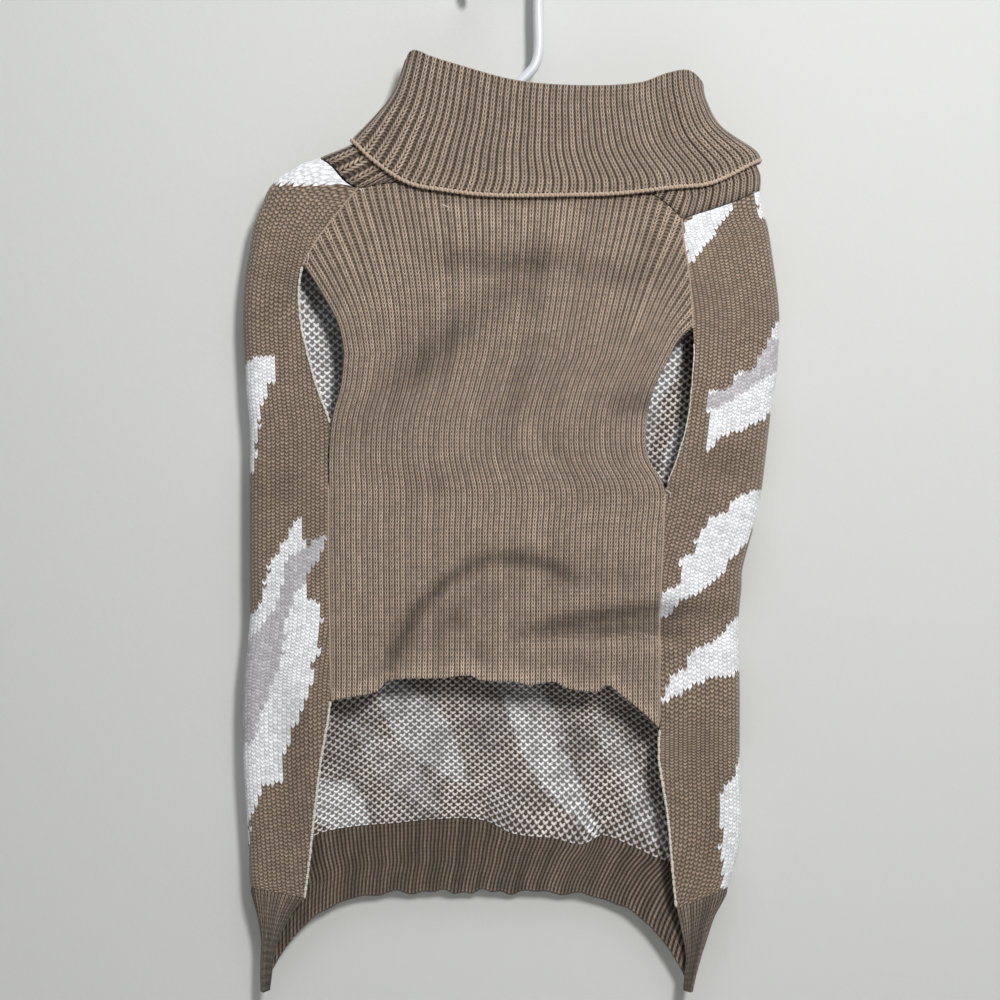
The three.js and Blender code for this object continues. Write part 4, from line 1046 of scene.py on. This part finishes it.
def makeHemBand(material):
    k = hemKnit
    per = k["perRib"]
    # on the flaps the ribs run from the fold to the slanting free edge, and narrow to the tip
    shares = np.linspace(0, len(hemRows) - 1, k["rows"] + 1)
    values = [v[:, None] for v in rowAt(hemRows, shares)]
    edgeLX, edgeLD, sideLD, edgeRX, edgeRD, sideRD, backD, bow = values
    leftX, rightX = outlineX(leftOutline, sideLD), outlineX(rightOutline, sideRD)
    radius = smoothAt(foldRadiusTable, (sideLD + sideRD) / 2)

    def flapSide(edgeX, edgeDrop, sideX, sideDrop, count):
        width = np.abs(edgeX - sideX)
        bend = np.minimum(radius, width * 0.9)
        full = width - bend + math.pi / 2 * bend
        way = np.arange(count * per, 0, -1)[None, :] / (count * per) * full
        px, pd, _ = flapPlace(edgeX, edgeDrop, sideX, sideDrop, radius, way)
        return px, pd

    lx, ld = flapSide(edgeLX, edgeLD, leftX, sideLD, k["leftRibs"])
    rx, rd = flapSide(edgeRX, edgeRD, rightX, sideRD, k["rightRibs"])
    rx, rd = rx[:, ::-1], rd[:, ::-1]
    backShares = np.linspace(0, 1, k["backRibs"] * per + 1)[None, :]
    bx, bd, _ = backRow(backShares, leftX, rightX, radius, sideLD, sideRD, backD, bow)
    x = np.concatenate([lx, bx, rx], axis=1)
    drop = np.concatenate([ld, bd, rd], axis=1)
    side = np.concatenate([-np.ones(lx.shape), np.ones(bx.shape), -np.ones(rx.shape)], axis=1)
    columns = x.shape[1]
    index = np.linspace(0, 1, k["rows"] + 1)[:, None]
    across = (x - k["waveStart"]) / (k["waveEnd"] - k["waveStart"])
    level = np.sin(math.pi * np.clip(across, 0, 1))
    turns = 2 * math.pi * k["waves"] * across
    uneven = (np.sin(turns + 1.3 * np.sin(5 * across))
              + 0.7 * np.sin(2 * math.pi * 1.9 * k["waves"] * across + 2 * np.sin(13 * across)))
    wave = np.where(side > 0, k["waveHeight"] * index**2 * level * uneven, 0)
    rib = np.tile(hemProfile, columns // per + 2)[:columns][None, :]
    wobble = 0.75 + 0.25 * np.sin(np.arange(columns) / per * 2.4)[None, :] * np.sin(index * 9)
    # the top row is sewn in between the two faces of the panel
    start = np.clip(1 - index * k["rows"] / 2, 0, 1)
    gap = -0.6 * start
    sag = np.where(side > 0, smoothAt(hemSeamSag, x) * (1 - index) ** 2, 0)

    def face(inward, ribHeight):
        points = clothPoint(bodyForm, x, drop + wave + gap + sag, side, inward + ribHeight * rib * wobble)
        points[..., 1] += wave
        return points

    outer = face(0.5 * start, -k["ribHeight"] * (1 - start * 0.9))
    inner = face(k["wall"] - 0.5 - 0.5 * start, k["ribHeight"] * 0.9 * (1 - start * 0.9))
    # the lower edge is rounded by one more row half way through the wall
    lip = (outer[-1] + inner[-1]) / 2 + np.array([0, 0, -0.9])
    count = np.arange(columns) / per
    courses = index * k["courses"]
    rimAcross, lipAlong = np.array([[0.3], [0.7]]), -k["courses"] - np.array([[0.0], [0.5], [1.0]])
    sidePlace = mapGrid(rimAcross, -courses[:, 0])
    points, quads, uv = joinGrids([
        (outer, outer - inner, mapGrid(count, -courses)),
        (inner, inner - outer, mapGrid(count + 0.5, -courses)),
        (np.stack([outer[-1], lip, inner[-1]]), (0, 0, -1), mapGrid(count, lipAlong)),
        (np.stack([outer[:, 0], inner[:, 0]]), (1, 0, 0), sidePlace),
        (np.stack([outer[:, -1], inner[:, -1]]), (-1, 0, 0), sidePlace)])
    opened = np.concatenate([np.full(len(quads[0]), k["open"]),
                             np.full(sum(len(q) for q in quads[1:]), k["innerOpen"])])
    # painted shade and light: some bundles of ribs are darker, others paler, as if they lay deeper or higher
    paintedBundleShade = 0.35 * np.sin(x * 0.13 + 1.1 * np.sin(x * 0.05)) * np.sin(x * 0.31 + 2 + 3 * index)
    paintedBundleShade = np.tile(paintedBundleShade[1:, 1:].ravel(), 2)
    masks = np.column_stack([opened, 0 * opened, np.concatenate([paintedBundleShade, np.zeros(len(opened) - len(paintedBundleShade))])])
    piece = makeMesh("hemBandKnit", points, np.concatenate(quads), uv + [100, 300], masks, materials=[material])
    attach(piece, "root")
    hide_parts("hem_band")
    return piece


# collar: a stand that turns over at the top and falls outside

collarKnit = {"frontRibs": 52, "backRibs": 52, "perRib": 6, "wall": 2.0, "turnGap": 0.6, "ribHeight": 0.8,
              "crestBack": 87, "edgeBack": 134, "neckBack": 134, "warp": 0.18, "course": 2.1, "joinAt": 0.877,
              "openLeft": 0.5, "openRight": 0.3}


def shareTable(table):
    t = np.array(table, dtype=float)
    return np.column_stack([(t[:, 0] - t[0, 0]) / (t[-1, 0] - t[0, 0]), t[:, 1]])


crestShares, edgeShares, neckLineShares = shareTable(crestTable), shareTable(fallEdgeTable), shareTable(neckTable)


def collarColumns():
    # share f over the front (0 to 1) and the back (1 to 2); the ribs are wider at the left
    k = collarKnit
    bend = lambda t: t + k["warp"] * t * (1 - t)
    front = bend(np.arange(k["frontRibs"] * k["perRib"]) / (k["frontRibs"] * k["perRib"]))
    back = 2 - bend(1 - np.arange(k["backRibs"] * k["perRib"]) / (k["backRibs"] * k["perRib"]))
    return np.concatenate([front, back])


def collarRing(form, ends, front, back, f, inward):
    # a closed ring through the drops of its two folds, its front curve and its back
    leftX, rightX = outlineX(form["lines"][0], ends[0]), outlineX(form["lines"][1], ends[1])
    radius = float(form["radius"](np.array((ends[0] + ends[1]) / 2)))
    side = np.where(f < 1, -1.0, 1.0)
    x, backDrop, u = backRow(np.where(f < 1, f, 2 - f), leftX, rightX, radius, *ends, back, 2)
    return clothPoint(form, x, np.where(side < 0, front(u), backDrop), side, inward)


def fallRing(w, f, inward, lower=0.0):
    k = collarKnit
    ends = [crestTable[0][1] * (1 - w) + fallEdgeTable[0][1] * w + lower,
            crestTable[-1][1] * (1 - w) + fallEdgeTable[-1][1] * w + lower]
    front = lambda u: smoothAt(crestShares, u) * (1 - w) + smoothAt(edgeShares, u) * w + lower
    return collarRing(fallForm, ends, front, k["crestBack"] * (1 - w) + k["edgeBack"] * w + lower, f, inward)


def standRing(w, f, inward):
    k = collarKnit
    level = lambda neckDrop, crestDrop: (neckDrop - 0.3) * (1 - w) + (crestDrop + k["wall"] + k["turnGap"]) * w
    ends = [level(neckTable[0][1], crestTable[0][1] + 1), level(neckTable[-1][1], crestTable[-1][1] - 0.5)]
    front = lambda u: level(smoothAt(neckLineShares, u), smoothAt(crestShares, u))
    return collarRing(bodyForm, ends, front, level(k["neckBack"], k["crestBack"]), f, inward)


def makeCollar(material):
    k = collarKnit
    f = collarColumns()
    columns = len(f)
    rib = np.tile(ribProfile, columns // 6) * k["ribHeight"]
    # the seam that joins the tube: a sunk line between two ribs at the viewer's right
    join = int(round(np.argmin(np.abs(f - k["joinAt"])) / 6)) * 6
    rib[[join - 1, join, join + 1]] = [0.1, -0.7, 0.1]
    middle = k["wall"] + k["turnGap"] / 2
    rings = [standRing(w, f, 0.6 * math.exp(-(w / 0.04) ** 2) - rib * min(1, (0.97 - w) * 4))
             for w in np.linspace(0, 0.96, 14)]
    rings += [fallRing(0, f, middle, k["wall"] + 0.2), fallRing(0.04, f, k["wall"] + 0.1, k["wall"] * 0.8)]
    rings += [fallRing(w, f, k["wall"]) for w in np.linspace(0.1, 0.97, 7)]
    firstFall = len(rings)
    # the lower edge is rolled: the wall is rounded over its thickness
    for turn in np.linspace(0, math.pi, 6):
        lift = 0.9 + 0.9 * math.cos(turn) - rib * 0.4 * (turn > 1.5)
        rings.append(fallRing(1.0, f, lift, 0.9 * math.sin(turn)))
    for w in np.linspace(0.97, 0.04, 32):
        rings.append(fallRing(w, f, -rib * min(1, 0.55 + (1 - w) * 6)))
    # the crest: from the outer face over the top to the inner face
    for turn in np.linspace(0.12, 1, 7):
        angle = turn * math.pi / 2
        lift = middle * (1 - math.cos(angle)) - rib * (1 - turn * 0.5)
        rings.append(fallRing(0.0, f, lift, 1.6 * (1 - math.sin(angle)) * (1 - turn)))
    rings += [fallRing(0.0, f, middle + 1.0, 0.5)]
    rings += [standRing(w, f, k["wall"] + rib * 0.35) for w in np.linspace(0.93, 0, 11)]
    grid = np.stack(rings)
    rows = len(rings)
    quads = gridQuads(rows, columns, closed=True)
    foot = gridQuads(2, columns, closed=True)
    foot = np.where(foot >= columns, foot - columns, foot + (rows - 1) * columns)
    quads = np.concatenate([quads, foot])
    points = grid.reshape(-1, 3)
    centre = np.array([14.0, 0.0, -108.0])
    sample = quads.reshape(-1, columns, 4)[firstFall + 20]
    corners = points[sample]
    normals = np.cross(corners[:, 2] - corners[:, 0], corners[:, 3] - corners[:, 1])
    flatAway = corners.mean(axis=1) - centre
    flatAway[:, 0] *= 0.05
    if (normals * flatAway).sum() < 0:
        quads = quads[:, ::-1]
    steps = np.linalg.norm(np.diff(grid, axis=0), axis=2).mean(axis=1)
    along = np.concatenate([[0], np.cumsum(steps)]) / k["course"]
    # the map needs its own last column, so that the pattern closes at the left fold
    count = np.arange(columns) / k["perRib"]
    uvPoint = np.column_stack([np.tile(count, rows), np.repeat(along, columns)])
    # the ribs stand wider open towards the left of the front
    opened = np.where(f < 1, k["openLeft"] * np.clip(1 - f * 2.2, 0, 1) + k["openRight"], k["openRight"])
    opened = np.tile(opened, rows)
    # painted shade: the two columns at the sunk seam line are darkened
    shade = np.tile(np.isin(np.arange(columns), [join - 1, join]) * 0.8, rows)
    masks = np.column_stack([opened, 0 * opened, shade])
    piece = makeMesh("collarKnit", points, quads, uvPoint + [100, 300], masks, materials=[material])
    layer = piece.data.uv_layers["stitchMap"]
    flat = np.empty(len(piece.data.loops) * 2, dtype=np.float32)
    layer.data.foreach_get("uv", flat)
    corner = flat.reshape(-1, 4, 2)
    high = corner[..., 0].max(axis=1, keepdims=True)
    wraps = (high - corner[..., 0].min(axis=1, keepdims=True)) > 50
    corner[..., 0] += np.where(wraps & (corner[..., 0] < high - 50), columns / k["perRib"], 0)
    layer.data.foreach_set("uv", corner.ravel())
    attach(piece, "root")
    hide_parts("collar")
    return piece


# tubes: hanger, chain edge, threads

def tubeMesh(path, radii, sides, closed=False, squash=1.0):
    # point = path(s) + radius(s) * (cos a * side + sin a * up), side and up square to the path
    path = np.asarray(path, dtype=float)
    radii = np.broadcast_to(radii, len(path))
    ahead = np.roll(path, -1, axis=0) - np.roll(path, 1, axis=0)
    if not closed:
        ahead[0], ahead[-1] = path[1] - path[0], path[-1] - path[-2]
    ahead /= np.linalg.norm(ahead, axis=1, keepdims=True)
    across = np.cross(ahead, [0.0, 1.0, 0.0])
    across /= np.maximum(np.linalg.norm(across, axis=1, keepdims=True), 1e-9)
    up = np.cross(across, ahead)
    angle = np.linspace(0, 2 * math.pi, sides, endpoint=False)
    ring = (np.cos(angle)[None, :, None] * across[:, None, :] * squash + np.sin(angle)[None, :, None] * up[:, None, :])
    points = path[:, None, :] + radii[:, None, None] * ring
    rows = len(path)
    if closed:
        points = np.concatenate([points, points[:1]])
        rows += 1
    else:
        first, last = path[0] - ahead[0] * radii[0] * 0.35, path[-1] + ahead[-1] * radii[-1] * 0.35
        points = np.concatenate([np.broadcast_to(first, (1, sides, 3)), points, np.broadcast_to(last, (1, sides, 3))])
        rows += 2
    quads = gridQuads(rows, sides, closed=True)
    way = np.concatenate([[0], np.cumsum(np.linalg.norm(np.diff(points.mean(axis=1), axis=0), axis=1))])
    uv = np.column_stack([np.tile(np.arange(sides) / sides, rows), np.repeat(way, sides)])
    flat = points.reshape(-1, 3)
    centre = np.repeat(points.mean(axis=1), sides, axis=0)
    return flat, turnOutwards(flat, quads, flat - centre), uv


def joinParts(parts):
    starts = np.cumsum([0] + [len(p[0]) for p in parts[:-1]])
    points = np.concatenate([p[0] for p in parts])
    quads = np.concatenate([p[1] + s for p, s in zip(parts, starts)])
    uv = np.concatenate([p[2] for p in parts])
    return points, quads, uv


hangerPlan = {"wire": 6.0, "bend": 21.0, "tipTurn": 205, "arm": 8.0}


def makeHanger(material):
    k = hangerPlan
    bendDrop = k["bend"] - k["wire"] / 2
    turn = np.radians(np.linspace(k["tipTurn"], 0, 42))
    hook = np.column_stack([k["bend"] * np.cos(turn), 0 * turn, -bendDrop + k["bend"] * np.sin(turn)])
    stem = smoothLine([[21, 22], [21, 40], [21.2, 60], [19, 70], [14.5, 76], [8.5, 82], [5.5, 88], [5, 94]], 40)[1:]
    path = np.concatenate([hook, np.column_stack([stem[:, 0], 0 * stem[:, 0], -stem[:, 1]])])
    tip = np.minimum(1, 0.55 + 0.45 * np.sqrt(np.arange(len(path)) / 3.0))
    hookTube = tubeMesh(path, k["wire"] / 2 * tip, 20)
    armLine = smoothLine([
        [-129.2, 144.2], [-117, 138.2], [-98, 129.2], [-60, 112.5], [-20, 98.5], [5, 94],
        [30, 98], [70, 110.5], [110, 125], [130, 132.3], [146, 138.8]], 90)
    arms = np.column_stack([armLine[:, 0], 0 * armLine[:, 0], -armLine[:, 1]])
    ends = np.minimum(np.arange(len(arms)), np.arange(len(arms))[::-1])
    armTube = tubeMesh(arms, k["arm"] / 2 * np.minimum(1, 0.6 + 0.4 * np.sqrt(ends / 2.0)), 20)
    angle = np.linspace(0, 2 * math.pi, 28, endpoint=False)
    profile = np.array([[0.01, -97], [4.8, -97], [5.2, -96.4], [5.2, -89.6], [4.6, -88], [3.8, -85.4], [3.2, -85],
                        [0.01, -85]])
    boss = np.stack([5.1 + profile[:, :1] * np.cos(angle), profile[:, :1] * np.sin(angle),
                     profile[:, 1:] + 0 * angle], axis=-1)
    bossQuads = gridQuads(len(profile), 28, closed=True)
    bossPoints = boss.reshape(-1, 3)
    bossPart = (bossPoints, turnOutwards(bossPoints, bossQuads, bossPoints - [5.1, 0, -91]), bossPoints[:, [0, 2]])
    points, quads, uv = joinParts([hookTube, armTube, bossPart])
    piece = makeMesh("hangerPlastic", points, quads, uv, materials=[material])
    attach(piece, "root")
    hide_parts("hanger")
    return piece


def makeChainEdge(material):
    # rolled chain edge of the collar: a tube whose surface rises in slanting links
    f = np.linspace(0, 2, 1301)[:-1]
    f = np.where(f < 1, f + 0.2 * f * (1 - f), 2 - ((2 - f) + 0.2 * (2 - f) * (f - 1)))
    path = fallRing(1.0, f, 0.5, 0.5)
    points, quads, uv = tubeMesh(path, 1.25, 8, closed=True)
    centre = np.repeat(points.reshape(-1, 8, 3).mean(axis=1), 8, axis=0)
    angle = np.tile(np.arange(8) / 8 * 2 * math.pi, len(points) // 8)
    link = 1 + 0.22 * np.sin(2 * math.pi * uv[:, 1] / 3.0 + angle)
    points = centre + (points - centre) * link[:, None]
    piece = makeMesh("collarChainEdge", points, quads, uv * [1, 1 / 1.5], materials=[material])
    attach(piece, "root")
    return piece


def edgeWay(rowStart, rowEnd, right, lift):
    # points along the free edge of a flap, from row share to row share, just proud of its face
    shares = np.linspace(rowStart, rowEnd, 260)
    values = rowAt(panelRows, shares)
    x, drop = (values[3], values[4]) if right else (values[0], values[1])
    return clothPoint(bodyForm, x, drop, -1.0, -lift)


overlock = {"dash": 3.9, "gap": 0.15, "radius": 0.85,
            # first row, last row, right flap, thickness
            "runs": [(3.05, 8.0, False, 1.0), (13.95, 18.0, False, 1.0), (5.6, 9.9, True, 0.5),
                     (14.05, 18.0, True, 1.0)]}
seamCords = {"radius": 0.62, "sunk": 0.62,
             "runs": [(0.0, 3.0, False), (0.0, 5.0, True), (9.8, 13.9, False), (10.0, 13.95, True)]}


def makeSeamCords(material):
    # the seams' own twisted yarn, sunk in the joints between belly and back panel
    parts = []
    for rowStart, rowEnd, right in seamCords["runs"]:
        line = edgeWay(rowStart, rowEnd, right, -seamCords["sunk"])
        line[:, 0] += -0.15 if right else 0.15
        parts.append(tubeMesh(line, seamCords["radius"], 7))
    points, quads, uv = joinParts(parts)
    piece = makeMesh("seamCords", points, quads, uv * [1, 1 / 1.6], materials=[material])
    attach(piece, "root")
    return piece


def makeOverlock(material):
    # dashes of cream thread over the raw edges: short fat tubes, each bent along the edge
    rng = np.random.default_rng(11)
    parts = []
    for rowStart, rowEnd, right, size in overlock["runs"]:
        line = edgeWay(rowStart, rowEnd, right, 0.1)
        way = np.concatenate([[0], np.cumsum(np.linalg.norm(np.diff(line, axis=0), axis=1))])
        start = 0.6
        while start < way[-1] - 3:
            length = overlock["dash"] * rng.uniform(0.8, 1.15)
            stops = np.linspace(start, min(start + length, way[-1]), 9)
            path = np.column_stack([np.interp(stops, way, line[:, c]) for c in range(3)])
            bulge = np.sin(np.linspace(0.3, math.pi - 0.3, 9)) ** 0.4
            path[:, 0] += (-0.25 if right else 0.25) + rng.uniform(-0.15, 0.15)
            path[:, 1] -= 0.25 * bulge
            radii = overlock["radius"] * size * bulge * rng.uniform(0.85, 1.1)
            parts.append(tubeMesh(path, radii, 7, squash=1.1))
            start += length + overlock["gap"] * rng.uniform(0.5, 1.6)
    points, quads, uv = joinParts(parts)
    piece = makeMesh("overlockDashes", points, quads, uv * [1, 1 / 1.2], materials=[material])
    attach(piece, "root")
    return piece


# x, drop, length, lean, curl
looseEnds = [(-117.6, 186, 7, -8, 0.6), (-37, 157, 4.5, 40, 2.0), (-87, 147, 3, 20, 1.0), (96.6, 328, 5, 30, 1.5)]


def makeThreadEnds(material):
    parts = []
    for x, drop, length, lean, curl in looseEnds:
        t = np.linspace(0, 1, 12)
        px = x + length * t * math.sin(math.radians(lean)) + curl * np.sin(t * math.pi)
        pd = drop + length * t * math.cos(math.radians(lean))
        path = clothPoint(bodyForm, px, pd, -1.0, -0.9 - 0.8 * np.sin(t * math.pi))
        parts.append(tubeMesh(path, 0.38 * (1 - 0.4 * t), 6))
    points, quads, uv = joinParts(parts)
    piece = makeMesh("looseThreads", points, quads, uv * [1, 1 / 0.8], materials=[material])
    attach(piece, "root")
    return piece


# build everything

print("camera and room")
makeCamera()
makeLamps()
makeRoom()

print("materials")
vStitch = makeStitchGroup()
ribStitch = makeRibGroup(vStitch)
yarnColor = makeYarnGroup()
jacquardFace = jacquardFaceMaterial(makeJerseyGroup(), yarnColor)
jacquardBacking = jacquardBackingMaterial(makeBackingGroup(), yarnColor)
bellyRib = ribMaterial("bellyRib", ribStitch, yarnColor, yarns["taupeRib"], 0.35, 0.36)
collarRib = ribMaterial("collarRib", ribStitch, yarnColor, yarns["collarTaupe"], 0.3, 0.24)
hemRib = ribMaterial("hemRib", ribStitch, yarnColor, yarns["shadedHemTaupe"], 1.1, 0.04)
seamYarn = threadMaterial("seamYarn", yarns["collarTaupe"], yarnColor)
creamThread = threadMaterial("creamThread", yarns["cream"], yarnColor)
chainYarn = threadMaterial("chainYarn", yarns["taupeRib"], yarnColor)
whitePlastic = plasticMaterial()

print("knitting the back panel")
backPanel = makeBackPanel([jacquardFace, jacquardBacking])
print("knitting the belly panel")
bellyPanel = makeBellyPanel(bellyRib)
print("knitting the hem band")
hemBand = makeHemBand(hemRib)
print("knitting the collar")
collar = makeCollar(collarRib)
print("edges and threads")
chainEdge = makeChainEdge(chainYarn)
seamLines = makeSeamCords(seamYarn)
overlockDashes = makeOverlock(creamThread)
looseThreads = makeThreadEnds(creamThread)
print("hanger")
hanger = makeHanger(whitePlastic)

print("done")
